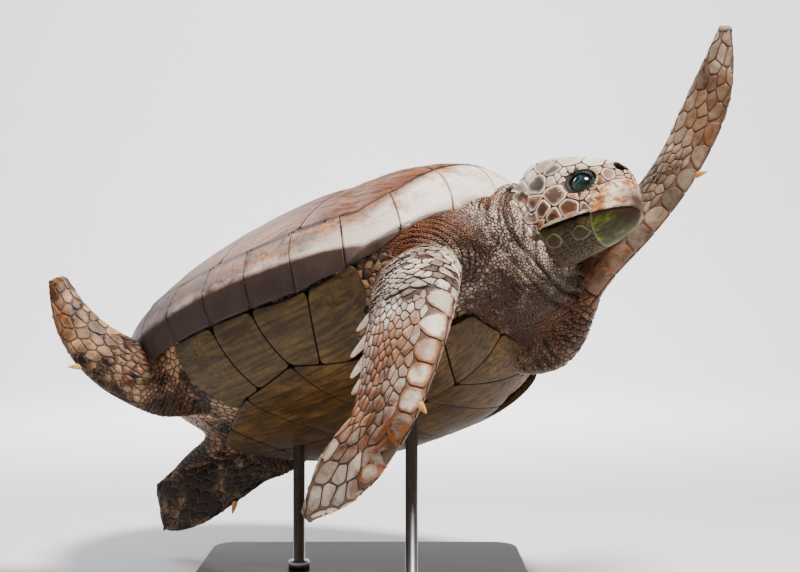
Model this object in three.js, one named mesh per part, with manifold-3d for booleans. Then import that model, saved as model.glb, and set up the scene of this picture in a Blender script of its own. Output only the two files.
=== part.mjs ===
// A young green sea turtle, life size, swimming over a plain display stand.
// Units are millimetres, +Z is up and the origin is the middle of the underside of the stand's base.
// The turtle is modelled level in a frame of its own (X to the snout, Y to its left, Z to its back, one unit
// for the length of its shell) and is then pitched and banked on the stand.
import * as THREE from 'three';
import { mergeVertices } from 'three/addons/utils/BufferGeometryUtils.js';
import Module from 'manifold-3d';

const wasm = await Module();
wasm.setup();

// ---------------------------------------------------------------- driving dimensions
const SHELL_LENGTH = 480;      // straight length of the carapace, in millimetres
const GAP = 0.3;               // clearance between pieces, in millimetres
const CLEAR = GAP / SHELL_LENGTH;
const PLATE = 0.010;           // thickness of a shell plate; from here on the unit is one shell length

const SHELL = {
  frontEnd: 0.44, rearEnd: -0.555, halfWidth: 0.378, widestAt: -0.067,      // plan of the rim
  frontFullness: 3.1, rearFullness: 2.3,
  domeHeight: 0.288, domePeakAt: 0.10, domeFall: 0.37, domeSpan: 0.9,       // the back's height and its fall to both ends
  domeRound: 2.1, domeFlank: 0.77, domeEnd: 0.5,                            // how full the back is across, at flank and ends
  bellyDepth: 0.212, bellyPeakAt: 0.22, bellyRise: 0.28, bellyFall: 0.17,   // the same for the belly
  bellyAhead: 0.45, bellyBehind: 0.6, bellyRound: 3.9, bellyFull: 0.64,
};
// Height of the rim at stations along the shell: it dips over the shoulders and lifts at the neck.
const RIM = [[-0.555, 0.062], [-0.44, 0.042], [-0.34, 0.02], [-0.2, 0.004], [-0.05, 0], [0.12, -0.014], [0.26, -0.025],
  [0.33, 0.01], [0.4, 0.072], [0.44, 0.112]];
// Width in plan of the ring of marginal plates: above the rim at the flank and at the two ends, and below the
// rim at stations along the shell.
const RING = { topFlank: 0.03, topEnd: 0.062 };
const RING_LOW = [[-0.555, 0.03], [-0.2, 0.018], [0.14, 0.018], [0.26, 0.005], [0.44, 0.005]];
const NUCHAL_HALF = 0.10;      // half the width of the plate above the neck
const SEAM = 0.0012;           // width of the cut between two plates

// How the turtle is turned over the stand, in degrees: its heading, how far the snout is raised, and how far
// it leans to its right.
const POSE = { heading: -31, pitch: 22.5, bank: -20.5 };

// The stand, in millimetres, and the points of the belly above its two rods, in the turtle's frame.
const BASE = { length: 340, width: 270, thickness: 12, corner: 26 };
const BODY_HEIGHT = 0.53 * SHELL_LENGTH;       // from the floor to the middle of the shell
const ROD_RADIUS = 6;
const ROD_POINTS = { front: [0.10, 0, -0.20], rear: [-0.20, 0, -0.18] };

// ---------------------------------------------------------------- materials
const paint = (color, roughness, metalness = 0) => new THREE.MeshStandardMaterial({ color, roughness, metalness });
const MATERIALS = {
  skin: paint(0x9c7a58, 0.6),
  paleSkin: paint(0xd6c8b0, 0.55),
  carapace: paint(0x7a5c48, 0.4),
  rim: paint(0x8b7768, 0.42),
  plastron: paint(0x7c6238, 0.5),
  paleBeak: paint(0xc9b795, 0.4),
  beak: paint(0x6b6a35, 0.4),
  claw: paint(0xb98a52, 0.4),
  eye: paint(0x12201c, 0.05),
  stand: paint(0x2c2d2f, 0.45),
  rod: paint(0xb9bcc0, 0.3, 1),
};

// ---------------------------------------------------------------- helpers
const point = (x, y, z) => new THREE.Vector3(x, y, z);
const blend = THREE.MathUtils.lerp;

// A smooth list: stations of up to three numbers each, read at t from 0 to 1.
const stations = (list) => new THREE.CatmullRomCurve3(list.map(([a, b = 0, c = 0]) => point(a, b, c)), false, 'catmullrom', 0.5);

// A straight-sided list of [x, value] pairs, read at x.
function lookUp(pairs, x) {
  const last = pairs.length - 1;
  if (x <= pairs[0][0]) return pairs[0][1];
  if (x >= pairs[last][0]) return pairs[last][1];
  const after = pairs.findIndex(([station]) => station > x);
  const [x0, y0] = pairs[after - 1];
  const [x1, y1] = pairs[after];
  return blend(y0, y1, (x - x0) / (x1 - x0));
}

function toSolid(geometry) {
  const bare = geometry.clone();
  bare.deleteAttribute('normal');
  bare.deleteAttribute('uv');
  const merged = mergeVertices(bare, 1e-5);
  return new wasm.Manifold(new wasm.Mesh({
    numProp: 3,
    vertProperties: new Float32Array(merged.attributes.position.array),
    triVerts: new Uint32Array(merged.index.array),
  }));
}

function toGeometry(solid) {
  const mesh = solid.getMesh();
  const geometry = new THREE.BufferGeometry();
  geometry.setAttribute('position', new THREE.BufferAttribute(new Float32Array(mesh.vertProperties), 3));
  geometry.setIndex(new THREE.BufferAttribute(new Uint32Array(mesh.triVerts), 1));
  return geometry;
}

// A closed body from a sphere: place(turn, along) gives each point, with turn from 0 to 2 pi around the body
// and along from 0 at its first pole to 1 at its last.
function shaped(around, rows, place) {
  const geometry = new THREE.SphereGeometry(1, around, rows);
  const position = geometry.attributes.position;
  const uv = geometry.attributes.uv;
  for (let i = 0; i < position.count; i += 1) {
    const row = Math.round((1 - uv.getY(i)) * rows);
    const step = Math.round(uv.getX(i) * around - (row === 0 ? 0.5 : 0) + (row === rows ? 0.5 : 0)) % around;
    const pole = row === 0 || row === rows;
    const placed = place(pole ? 0 : (step / around) * Math.PI * 2, row / rows);
    position.setXYZ(i, placed.x, placed.y, placed.z);
  }
  const solid = toSolid(geometry);
  return solid.volume() < 0 ? toSolid(flipped(geometry)) : solid;
}

function flipped(geometry) {
  const index = geometry.index.array;
  for (let i = 0; i < index.length; i += 3) [index[i], index[i + 1]] = [index[i + 1], index[i]];
  return geometry;
}

// The same smooth solid with its skin moved outwards, for cutting a neighbour clear of it.
function grown(solid, by = CLEAR) {
  const geometry = toGeometry(solid);
  geometry.computeVertexNormals();
  const { position, normal } = geometry.attributes;
  for (let i = 0; i < position.count; i += 1) {
    position.setXYZ(i, position.getX(i) + normal.getX(i) * by, position.getY(i) + normal.getY(i) * by,
      position.getZ(i) + normal.getZ(i) * by);
  }
  return toSolid(geometry);
}

const without = (solid, ...blocks) => blocks.reduce((left, block) => left.subtract(block), solid);

// The largest closed body of a solid, without the crumbs that a cut can leave.
const largest = (solid) => solid.decompose().reduce((a, b) => (a.volume() > b.volume() ? a : b));

// A box that fills the half space on the side of a point that a direction names.
function halfSpace(at, direction, size = 3) {
  const box = new THREE.BoxGeometry(size, size, size);
  box.translate(0, 0, size / 2);
  box.applyQuaternion(new THREE.Quaternion().setFromUnitVectors(point(0, 0, 1), direction.clone().normalize()));
  box.translate(at.x, at.y, at.z);
  return toSolid(box);
}

const mirrorPoint = ([x, y]) => [x, -y];

// A plan outline drawn up into a prism.
function prism(outline, low, high) {
  const shape = new THREE.Shape(outline.map(([x, y]) => new THREE.Vector2(x, y)));
  const geometry = new THREE.ExtrudeGeometry(shape, { depth: high - low, bevelEnabled: false });
  geometry.translate(0, 0, low);
  return toSolid(geometry);
}

// Thin upright walls along a line of plan points, to part two plates.
function walls(line, low, high) {
  return line.slice(1).map((end, i) => {
    const start = line[i];
    const run = Math.hypot(end[0] - start[0], end[1] - start[1]);
    const box = new THREE.BoxGeometry(run + SEAM, SEAM, high - low);
    box.rotateZ(Math.atan2(end[1] - start[1], end[0] - start[0]));
    box.translate((start[0] + end[0]) / 2, (start[1] + end[1]) / 2, (low + high) / 2);
    return toSolid(box);
  });
}

const named = [];
function piece(name, solid, material) {
  const geometry = toGeometry(solid);
  geometry.computeVertexNormals();
  const mesh = new THREE.Mesh(geometry, material);
  mesh.name = name;
  named.push(mesh);
  return mesh;
}

// ---------------------------------------------------------------- the shell's surface
function rimPoint(turn, shrink = 0) {
  const c = Math.cos(turn);
  const { frontEnd, rearEnd, halfWidth, widestAt, frontFullness, rearFullness } = SHELL;
  const reach = c > 0 ? frontEnd - widestAt : widestAt - rearEnd;
  const fullness = c > 0 ? frontFullness : rearFullness;
  const y = halfWidth * Math.sqrt(1 - Math.abs(c) ** fullness) * Math.sign(Math.sin(turn));
  const x = widestAt + reach * c;
  const fit = 1 - shrink / Math.hypot(x, y);
  return { x: x * fit, y: y * fit, span: x };
}

function domeAt(rim, rho) {
  const x = rim.x * rho;
  const ends = (rim.span / 0.5) ** 2;
  const crown = SHELL.domeHeight * (1 - SHELL.domeFall * ((x - SHELL.domePeakAt) / SHELL.domeSpan) ** 2);
  const fullness = blend(SHELL.domeFlank, SHELL.domeEnd, ends);
  return lookUp(RIM, rim.span) * rho ** 2 + crown * Math.max(0, 1 - rho ** SHELL.domeRound) ** fullness;
}

function bellyAt(rim, rho) {
  const x = rim.x * rho;
  const ahead = Math.max(0, (x - SHELL.bellyPeakAt) / SHELL.bellyAhead) ** 2 * SHELL.bellyRise;
  const behind = Math.max(0, (SHELL.bellyPeakAt - x) / SHELL.bellyBehind) ** 2 * SHELL.bellyFall;
  const bulge = Math.max(0, 1 - rho ** SHELL.bellyRound) ** SHELL.bellyFull;
  return lookUp(RIM, rim.span) * rho ** 6 - SHELL.bellyDepth * (1 - ahead - behind) * bulge;
}

// The whole shell as one closed body, or the same body a plate's thickness in.
function hull(inset, around = 34, rows = 14) {
  return shaped(around, rows, (turn, along) => {
    const rim = rimPoint(turn, inset);
    const upper = along <= 0.5;
    const rho = Math.sin((upper ? along : 1 - along) * Math.PI);
    const height = upper ? domeAt(rim, rho) : bellyAt(rim, rho);
    const middle = lookUp(RIM, rim.span) * rho ** 2;
    const squeeze = 1 - inset / (upper ? SHELL.domeHeight : SHELL.bellyDepth);
    return point(rim.x * rho, rim.y * rho, middle + (height - middle) * squeeze);
  });
}

// What lies inside the ring of marginal plates: a plug through the shell with slightly leaning walls.
function plug(extra, around = 30) {
  const levels = [[0.5, true], [0.03, true], [-0.05, false], [-0.5, false]];
  const geometry = new THREE.CylinderGeometry(1, 1, levels.length - 1, around, levels.length - 1);
  const position = geometry.attributes.position;
  for (let i = 0; i < position.count; i += 1) {
    const level = Math.round((levels.length - 1) / 2 - position.getY(i));
    const [height, isTop] = levels[level];
    const radius = Math.hypot(position.getX(i), position.getZ(i));
    const turn = Math.atan2(position.getZ(i), position.getX(i));
    const bare = rimPoint(turn);
    const ends = (bare.span / 0.5) ** 2;
    const width = isTop ? blend(RING.topFlank, RING.topEnd, ends) : lookUp(RING_LOW, bare.span);
    const rim = rimPoint(turn, width + extra);
    position.setXYZ(i, rim.x * radius, rim.y * radius, height);
  }
  const solid = toSolid(geometry);
  return solid.volume() < 0 ? toSolid(flipped(geometry)) : solid;
}

const outer = hull(0);
const inner = hull(PLATE + CLEAR);
const insideRing = plug(CLEAR);
const upperLayer = outer.subtract(inner).intersect(insideRing).intersect(halfSpace(point(0, 0, 0.001), point(0, 0, 1)));
const lowerLayer = outer.subtract(inner).intersect(insideRing).intersect(halfSpace(point(0, 0, -0.001), point(0, 0, -1)));

// ---------------------------------------------------------------- carapace plates
// Corners of the vertebral plates on the left side, from the front to the rear, as plan points.
const SPINE = [[0.36, 0.19], [0.255, 0.10], [0.165, 0.155], [0.065, 0.09], [-0.03, 0.15], [-0.13, 0.085],
  [-0.215, 0.125], [-0.305, 0.06], [-0.375, 0.12], [-0.47, 0.14]];
const COSTAL_ENDS = [[0.08, 0.5], [-0.12, 0.5], [-0.31, 0.5]];
const beyond = 0.62;

function carapacePlates() {
  const seams = [];
  for (const side of [1, -1]) {
    const line = side === 1 ? SPINE : SPINE.map(mirrorPoint);
    seams.push(...walls(line, 0, 0.5));
    COSTAL_ENDS.forEach((end, i) => seams.push(...walls([line[2 + 2 * i], side === 1 ? end : mirrorPoint(end)], 0, 0.5)));
  }
  for (let i = 1; i <= 7; i += 2) seams.push(...walls([SPINE[i], mirrorPoint(SPINE[i])], 0, 0.5));
  const parted = seams.reduce((left, wall) => left.subtract(wall), upperLayer);

  const halves = [
    [[beyond, 0.33], SPINE[0], SPINE[1]],
    SPINE.slice(1, 4), SPINE.slice(3, 6), SPINE.slice(5, 8),
    [SPINE[7], SPINE[8], SPINE[9], [-beyond, 0.14]],
  ];
  halves.forEach((half, i) => {
    const outline = [...half, ...half.map(mirrorPoint).reverse()];
    piece(`vertebral_${i + 1}`, largest(parted.intersect(prism(outline, 0, 0.5))), MATERIALS.carapace);
  });

  const [endA, endB, endC] = COSTAL_ENDS;
  const flanks = [
    [SPINE[0], SPINE[1], SPINE[2], endA, [beyond, 0.5], [beyond, 0.33]],
    [SPINE[2], SPINE[3], SPINE[4], endB, endA],
    [SPINE[4], SPINE[5], SPINE[6], endC, endB],
    [SPINE[6], SPINE[7], SPINE[8], SPINE[9], [-beyond, 0.14], [-beyond, 0.5], endC],
  ];
  for (const [side, word] of [[1, 'left'], [-1, 'right']]) {
    flanks.forEach((flank, i) => {
      const outline = side === 1 ? flank : flank.map(mirrorPoint);
      piece(`costal_${word}_${i + 1}`, largest(parted.intersect(prism(outline, 0, 0.5))), MATERIALS.carapace);
    });
  }
}
carapacePlates();

// ---------------------------------------------------------------- rim plates
// Under the front of the shell the rim is thin and open, and the skin of the shoulders fills the hollow.
const HOLLOW = { at: 0.16, height: -0.10, slope: 0.62 };
const hollow = (extra) => halfSpace(point(HOLLOW.at, 0, HOLLOW.height - extra), point(HOLLOW.slope, 0, -1)).subtract(plug(-extra));
const ring = outer.subtract(plug(0)).subtract(hollow(0));
// The cuts that part the ring start inside it, end outside it and reach this far above and below it.
const CUT = { inside: 0.3, outside: 0.7, height: 0.4 };
const nuchalEdge = [[CUT.inside, NUCHAL_HALF], [CUT.outside, NUCHAL_HALF]];
const rearCut = [[-CUT.inside, 0], [-CUT.outside, 0]];
const ringWalls = [nuchalEdge, nuchalEdge.map(mirrorPoint), rearCut].flatMap((line) => walls(line, -CUT.height, CUT.height));
const ringParted = ringWalls.reduce((left, wall) => left.subtract(wall), ring);
const nuchalPlan = prism([...nuchalEdge, ...nuchalEdge.map(mirrorPoint).reverse()], -CUT.height, CUT.height);
piece('nuchal', largest(ringParted.intersect(nuchalPlan)), MATERIALS.rim);
const [firstHalf, secondHalf] = ringParted.subtract(nuchalPlan).decompose().sort((a, b) => b.volume() - a.volume());
const isLeft = (solid) => solid.boundingBox().max[1] > 0.1;
piece('marginals_left', isLeft(firstHalf) ? firstHalf : secondHalf, MATERIALS.rim);
piece('marginals_right', isLeft(firstHalf) ? secondHalf : firstHalf, MATERIALS.rim);

// ---------------------------------------------------------------- plastron and bridges
// The plastron's midline crossings and the outline of its left half, as plan points.
const KEEL = { front: 0.335, gular: 0.21, humeral: 0.13, pectoral: 0.03, abdominal: -0.10, femoral: -0.25, rear: -0.37 };
const LOBE = {
  gularTip: [0.332, 0.10], gularCorner: [0.285, 0.145], humeral: [0.19, 0.205], notch: [0.13, 0.225],
  pectoral: [0.018, 0.272], abdominal: [-0.13, 0.24], inguinal: [-0.17, 0.215], femoral: [-0.255, 0.155], anal: [-0.345, 0.07],
};
const BRIDGE = { front: 0.235, rear: -0.22 };

function plastronPlates() {
  const mid = (x) => [x, 0];
  const { gularTip, gularCorner, humeral, notch, pectoral, abdominal, inguinal, femoral, anal } = LOBE;
  const plates = {
    gular: [mid(KEEL.front), gularTip, gularCorner, mid(KEEL.gular)],
    humeral: [mid(KEEL.gular), gularCorner, humeral, mid(KEEL.humeral)],
    pectoral: [mid(KEEL.humeral), humeral, notch, pectoral, mid(KEEL.pectoral)],
    abdominal: [mid(KEEL.pectoral), pectoral, abdominal, mid(KEEL.abdominal)],
    femoral: [mid(KEEL.abdominal), abdominal, inguinal, femoral, mid(KEEL.femoral)],
    anal: [mid(KEEL.femoral), femoral, anal, mid(KEEL.rear)],
    bridge: [notch, [BRIDGE.front, 0.3], [BRIDGE.front, 0.5], [BRIDGE.rear, 0.5], [BRIDGE.rear, 0.3], inguinal, abdominal, pectoral],
  };
  const cuts = [walls([mid(beyond), mid(-beyond)], -0.5, 0)];
  for (const flip of [(p) => p, mirrorPoint]) {
    const line = (...points) => cuts.push(walls(points.map(flip), -0.5, 0));
    line(mid(KEEL.gular), gularCorner);
    line(mid(KEEL.humeral), humeral);
    line(mid(KEEL.pectoral), pectoral);
    line(mid(KEEL.abdominal), abdominal);
    line(mid(KEEL.femoral), femoral);
    line(notch, pectoral, abdominal, inguinal);
  }
  const parted = cuts.flat().reduce((left, wall) => left.subtract(wall), lowerLayer);
  for (const [side, word] of [[1, 'left'], [-1, 'right']]) {
    for (const [name, outline] of Object.entries(plates)) {
      const turned = side === 1 ? outline : outline.map(mirrorPoint);
      piece(`${name}_${word}`, largest(parted.intersect(prism(turned, -0.5, 0))), MATERIALS.plastron);
    }
  }
}
plastronPlates();

// The room that the whole shell takes up, with the clearance around it.
const shellRoom = hull(-CLEAR).subtract(hollow(CLEAR));

// ---------------------------------------------------------------- trunk
// It has fewer facets than the shell, so it stands off by the height of a facet as well.
const FACET = 0.007;
const trunk = hull(PLATE + FACET, 26, 10).intersect(plug(FACET, 22));
piece('trunk', trunk, MATERIALS.skin);

// ---------------------------------------------------------------- head
// Stations from the nape to the snout: how far forward, top and underside, then half width.
const HEAD_PROFILE = [
  [0.446, 0.128, -0.010, 0.040], [0.457, 0.158, -0.036, 0.062], [0.482, 0.176, -0.052, 0.075], [0.518, 0.172, -0.050, 0.079],
  [0.558, 0.158, -0.048, 0.075], [0.593, 0.141, -0.047, 0.067], [0.623, 0.124, -0.043, 0.056], [0.647, 0.106, -0.034, 0.044],
  [0.664, 0.084, -0.019, 0.030], [0.673, 0.058, 0.004, 0.014],
];
const JAW = { corner: 0.493, cornerHeight: -0.002, slope: -0.05 };
const EYE = { at: point(0.586, 0.0385, 0.060), radius: 0.0275 };

function headBody() {
  const lengthwise = stations(HEAD_PROFILE.map(([x, top, low]) => [x, top, low]));
  const sideways = stations(HEAD_PROFILE.map(([, , , half]) => [half]));
  return shaped(16, 13, (turn, along) => {
    const { x, y: top, z: low } = lengthwise.getPoint(along);
    const pole = along === 0 || along === 1;
    const half = pole ? 0 : sideways.getPoint(along).x;
    const middle = blend(low, top, 0.47);
    const lift = Math.sin(turn) > 0 ? top - middle : middle - low;
    const rounded = (value) => Math.sign(value) * Math.abs(value) ** 0.88;
    return point(x, half * rounded(Math.cos(turn)), pole ? middle : middle + lift * rounded(Math.sin(turn)));
  });
}

const eyeAt = (side) => {
  const ball = new THREE.SphereGeometry(EYE.radius, 12, 8);
  ball.translate(EYE.at.x, side * EYE.at.y, EYE.at.z);
  return toSolid(ball);
};
const eyes = { left: eyeAt(1), right: eyeAt(-1) };
const skull = headBody();
const skullRoom = grown(skull);
const wholeHead = without(skull, grown(eyes.left), grown(eyes.right));
const mouthNormal = point(-JAW.slope, 0, 1).normalize();
const mouthPoint = point(JAW.corner, 0, JAW.cornerHeight);
const clearance = CLEAR / 2;
const below = (shift) => halfSpace(mouthPoint.clone().addScaledVector(mouthNormal, shift), mouthNormal.clone().negate());
const ahead = (x) => halfSpace(point(x, 0, 0), point(1, 0, 0));
const lowerJaw = largest(wholeHead.intersect(below(-clearance)).intersect(ahead(JAW.corner + clearance)));
const head = largest(wholeHead.subtract(below(clearance).intersect(ahead(JAW.corner - clearance))));
// The horn of the beak: the front of both jaws, up to a line that rises to the nose.
const SHEATH = { back: 0.600, backHeight: 0.016, backLean: -0.35, top: 0.034, topLean: 0.2 };
const sheath = (shift) => halfSpace(point(SHEATH.back - shift, 0, SHEATH.backHeight), point(1, 0, SHEATH.backLean)).intersect(
  halfSpace(point(SHEATH.back, 0, SHEATH.top + shift), point(SHEATH.topLean, 0, -1)));
piece('head', largest(head.subtract(sheath(clearance))), MATERIALS.paleSkin);
piece('beak_upper', largest(head.intersect(sheath(-clearance))), MATERIALS.paleBeak);
piece('lower_jaw', largest(lowerJaw.subtract(sheath(clearance))), MATERIALS.skin);
piece('beak_lower', largest(lowerJaw.intersect(sheath(-clearance))), MATERIALS.beak);
piece('eye_left', eyes.left, MATERIALS.eye);
piece('eye_right', eyes.right, MATERIALS.eye);

// ---------------------------------------------------------------- limbs
// A joint says where the middle of the limb is, which way its leading edge points there, how far the leading and
// the trailing edge reach from the middle, and half the thickness.
const joint = (at, chord, lead, trail, half) => ({ at, chord, section: [lead, trail, half] });
const pathOf = (joints) => stations(Object.values(joints).map(({ at }) => at));
const chordOf = (joints) => stations(Object.values(joints).map(({ chord }) => chord));
const sectionOf = (joints) => stations(Object.values(joints).map(({ section }) => section));

// A limb is drawn smoothly through its joints, with its rows closer together at the two ends.
function limb(around, rows, joints) {
  const centre = pathOf(joints);
  const chord = chordOf(joints);
  const section = sectionOf(joints);
  return shaped(around, rows, (turn, row) => {
    const along = (1 - Math.cos(Math.PI * row)) / 2;
    const middle = centre.getPoint(along);
    if (row === 0 || row === 1) return middle;
    const run = centre.getTangent(along);
    const across = chord.getPoint(along);
    across.addScaledVector(run, -across.dot(run)).normalize();
    const up = point(0, 0, 0).crossVectors(run, across);
    const { x: lead, y: trail, z: half } = section.getPoint(along);
    const c = Math.cos(turn);
    const taper = blend(0.75, 1, (c + 1) / 2);
    return middle.addScaledVector(across, c > 0 ? lead * c : trail * c).addScaledVector(up, half * taper * Math.sin(turn));
  });
}

// Front limbs: the right one sweeps down and out, the left one is lifted ahead.
const FRONT = {
  right: {
    root: joint([0.24, -0.10, -0.05], [0.9, 0.3, 0.3], 0.04, 0.04, 0.03),
    shoulder: joint([0.33, -0.27, -0.11], [0.94, 0.18, -0.1], 0.08, 0.08, 0.06),
    elbow: joint([0.36, -0.37, -0.25], [0.96, 0.12, -0.25], 0.08, 0.08, 0.04),
    forearm: joint([0.355, -0.42, -0.36], [0.99, 0.08, -0.14], 0.073, 0.073, 0.029),
    wrist: joint([0.33, -0.455, -0.45], [0.97, 0.16, -0.15], 0.06, 0.06, 0.02),
    blade: joint([0.26, -0.47, -0.51], [0.9, 0.2, -0.38], 0.052, 0.052, 0.014),
    tip: joint([0.175, -0.465, -0.555], [0.8, 0.3, -0.5], 0.014, 0.014, 0.008),
  },
  left: {
    root: joint([0.22, 0.11, -0.07], [0.6, -0.2, -0.7], 0.06, 0.04, 0.04),
    shoulder: joint([0.35, 0.145, -0.09], [0.38, 0, -0.92], 0.09, 0.08, 0.066),
    elbow: joint([0.48, 0.14, -0.02], [0.28, 0.08, -0.96], 0.043, 0.06, 0.04),
    forearm: joint([0.60, 0.145, 0.055], [0.4, 0.08, -0.9], 0.05, 0.052, 0.028),
    wrist: joint([0.71, 0.145, 0.13], [0.78, 0.1, -0.61], 0.05, 0.05, 0.02),
    blade: joint([0.82, 0.13, 0.24], [0.92, 0.12, -0.36], 0.048, 0.048, 0.013),
    tip: joint([0.90, 0.105, 0.36], [0.91, 0.1, -0.38], 0.018, 0.016, 0.008),
  },
};
const ELBOW = 0.40;

// Hind limbs trail behind: the right one lifts outwards, the left one reaches back.
const HIND = {
  right: {
    root: joint([-0.23, -0.12, -0.07], [0.2, 0.2, 0.9], 0.03, 0.03, 0.03),
    hip: joint([-0.31, -0.23, -0.075], [0.18, 0.25, 0.93], 0.07, 0.07, 0.058),
    knee: joint([-0.345, -0.325, -0.06], [0.17, 0.26, 0.95], 0.07, 0.07, 0.04),
    ankle: joint([-0.39, -0.39, -0.005], [0.18, 0.28, 0.94], 0.06, 0.058, 0.027),
    blade: joint([-0.415, -0.435, 0.06], [0.28, 0.28, 0.92], 0.047, 0.041, 0.017),
    tip: joint([-0.425, -0.47, 0.15], [0.34, 0.21, 0.92], 0.023, 0.02, 0.008),
  },
  left: {
    root: joint([-0.23, 0.13, -0.07], [-0.5, -0.1, 0.8], 0.03, 0.03, 0.03),
    hip: joint([-0.33, 0.13, -0.10], [-0.53, -0.14, 0.81], 0.072, 0.072, 0.05),
    knee: joint([-0.42, 0.09, -0.115], [-0.48, -0.2, 0.85], 0.08, 0.08, 0.032),
    ankle: joint([-0.51, 0.075, -0.14], [-0.35, -0.25, 0.9], 0.083, 0.083, 0.022),
    blade: joint([-0.60, 0.06, -0.165], [-0.34, -0.24, 0.91], 0.081, 0.081, 0.014),
    tip: joint([-0.685, 0.05, -0.17], [-0.34, -0.16, 0.93], 0.061, 0.061, 0.008),
  },
};
const KNEE = 0.42;

function parted(solid, curve, along, low, high) {
  const at = curve.getPoint(along);
  const run = curve.getTangent(along);
  const nudge = run.clone().multiplyScalar(clearance);
  return {
    [low]: largest(solid.intersect(halfSpace(at.clone().sub(nudge), run.clone().negate()))),
    [high]: largest(solid.intersect(halfSpace(at.clone().add(nudge), run))),
  };
}

// A claw stands out of one edge of a limb: where along the path, on the leading (1) or trailing (-1) edge.
const CLAWS = {
  front: { right: [0.605, 1], left: [0.675, 1] },
  hind: { right: [0.6, -1], left: [0.59, -1] },
};
const CLAW = { length: 0.032, radius: 0.0075, inside: 0.012 };

function claw(joints, [along, edge]) {
  const run = pathOf(joints).getTangent(along);
  const across = chordOf(joints).getPoint(along);
  across.addScaledVector(run, -across.dot(run)).normalize().multiplyScalar(edge);
  const reach = sectionOf(joints).getPoint(along)[edge > 0 ? 'x' : 'y'];
  const direction = across.clone().addScaledVector(run, 0.7).normalize();
  const root = pathOf(joints).getPoint(along).addScaledVector(across, reach);
  const cone = new THREE.ConeGeometry(CLAW.radius, CLAW.length, 10);
  cone.translate(0, CLAW.length / 2 - CLAW.inside, 0);
  cone.applyQuaternion(new THREE.Quaternion().setFromUnitVectors(point(0, 1, 0), direction));
  cone.translate(root.x, root.y, root.z);
  return toSolid(cone);
}

const flesh = {};
const uncut = {};
for (const side of ['left', 'right']) {
  const front = FRONT[side];
  const frontClaw = claw(front, CLAWS.front[side]);
  piece(`claw_front_${side}`, frontClaw, MATERIALS.claw);
  uncut[`front_${side}`] = limb(12, 15, front);
  const frontLimb = largest(without(uncut[`front_${side}`], shellRoom, skullRoom, grown(frontClaw)));
  Object.assign(flesh, parted(frontLimb, pathOf(front), ELBOW, `arm_${side}`, `flipper_${side}`));
  const hind = HIND[side];
  const hindClaw = claw(hind, CLAWS.hind[side]);
  piece(`claw_hind_${side}`, hindClaw, MATERIALS.claw);
  uncut[`hind_${side}`] = limb(12, 12, hind);
  const hindLimb = largest(without(uncut[`hind_${side}`], shellRoom, grown(hindClaw)));
  Object.assign(flesh, parted(hindLimb, pathOf(hind), KNEE, `thigh_${side}`, `hind_flipper_${side}`));
}

// ---------------------------------------------------------------- neck and tail
const LEFTWARD = [0, 1, 0];
const NECK = {
  root: joint([0.20, 0, -0.05], LEFTWARD, 0.15, 0.15, 0.08),
  yoke: joint([0.27, 0, -0.035], LEFTWARD, 0.28, 0.28, 0.12),
  base: joint([0.34, 0, -0.005], LEFTWARD, 0.265, 0.265, 0.15),
  middle: joint([0.40, 0, 0.03], LEFTWARD, 0.19, 0.19, 0.15),
  nape: joint([0.45, 0, 0.05], LEFTWARD, 0.11, 0.11, 0.135),
  skull: joint([0.50, 0, 0.06], LEFTWARD, 0.04, 0.04, 0.06),
};
const neck = limb(16, 9, NECK);
flesh.neck = largest(without(neck, shellRoom, skullRoom, grown(uncut.front_left), grown(uncut.front_right)));

const TAIL = {
  root: joint([-0.36, 0, -0.10], LEFTWARD, 0.04, 0.04, 0.035),
  base: joint([-0.43, 0, -0.11], LEFTWARD, 0.045, 0.045, 0.035),
  middle: joint([-0.50, 0, -0.115], LEFTWARD, 0.028, 0.028, 0.024),
  end: joint([-0.555, 0, -0.125], LEFTWARD, 0.017, 0.017, 0.015),
  tip: joint([-0.59, 0, -0.14], LEFTWARD, 0.008, 0.008, 0.007),
};
const tail = limb(10, 8, TAIL);
flesh.tail = largest(without(tail, shellRoom, grown(uncut.hind_left), grown(uncut.hind_right)));
for (const [name, solid] of Object.entries(flesh)) piece(name, solid, MATERIALS.skin);

// ---------------------------------------------------------------- pose on the stand
const turtle = new THREE.Group();
turtle.add(...named);
const radians = THREE.MathUtils.degToRad;
turtle.rotation.set(radians(POSE.bank), radians(-POSE.pitch), radians(POSE.heading), 'ZYX');
turtle.scale.setScalar(SHELL_LENGTH);
turtle.position.set(0, 0, BODY_HEIGHT);
turtle.updateMatrix();

// ---------------------------------------------------------------- stand
function roundedPlate({ length, width, thickness, corner }) {
  const [x, y] = [length / 2 - corner, width / 2 - corner];
  const outline = new THREE.Shape();
  [[x, y, 0], [-x, y, 1], [-x, -y, 2], [x, -y, 3]].forEach(([cx, cy, quarter]) => {
    outline.absarc(cx, cy, corner, quarter * Math.PI / 2, (quarter + 1) * Math.PI / 2);
  });
  return toSolid(new THREE.ExtrudeGeometry(outline, { depth: thickness, bevelEnabled: false, curveSegments: 8 }));
}

const object = new THREE.Group();
object.add(turtle);
const standPiece = (name, solid, material) => {
  const mesh = piece(name, solid, material);
  object.add(mesh);
};
standPiece('stand_base', roundedPlate(BASE), MATERIALS.stand);
const belly = toSolid(toGeometry(shellRoom).applyMatrix4(turtle.matrix));
for (const [name, at] of Object.entries(ROD_POINTS)) {
  const top = point(...at).applyMatrix4(turtle.matrix);
  const foot = BASE.thickness + GAP;
  const rod = new THREE.CylinderGeometry(ROD_RADIUS, ROD_RADIUS, top.z + 2 * ROD_RADIUS - foot, 20);
  rod.rotateX(Math.PI / 2);
  rod.translate(top.x, top.y, (top.z + 2 * ROD_RADIUS + foot) / 2);
  standPiece(`stand_rod_${name}`, largest(toSolid(rod).subtract(belly)), MATERIALS.rod);
}

export default object;
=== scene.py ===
import math

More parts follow.
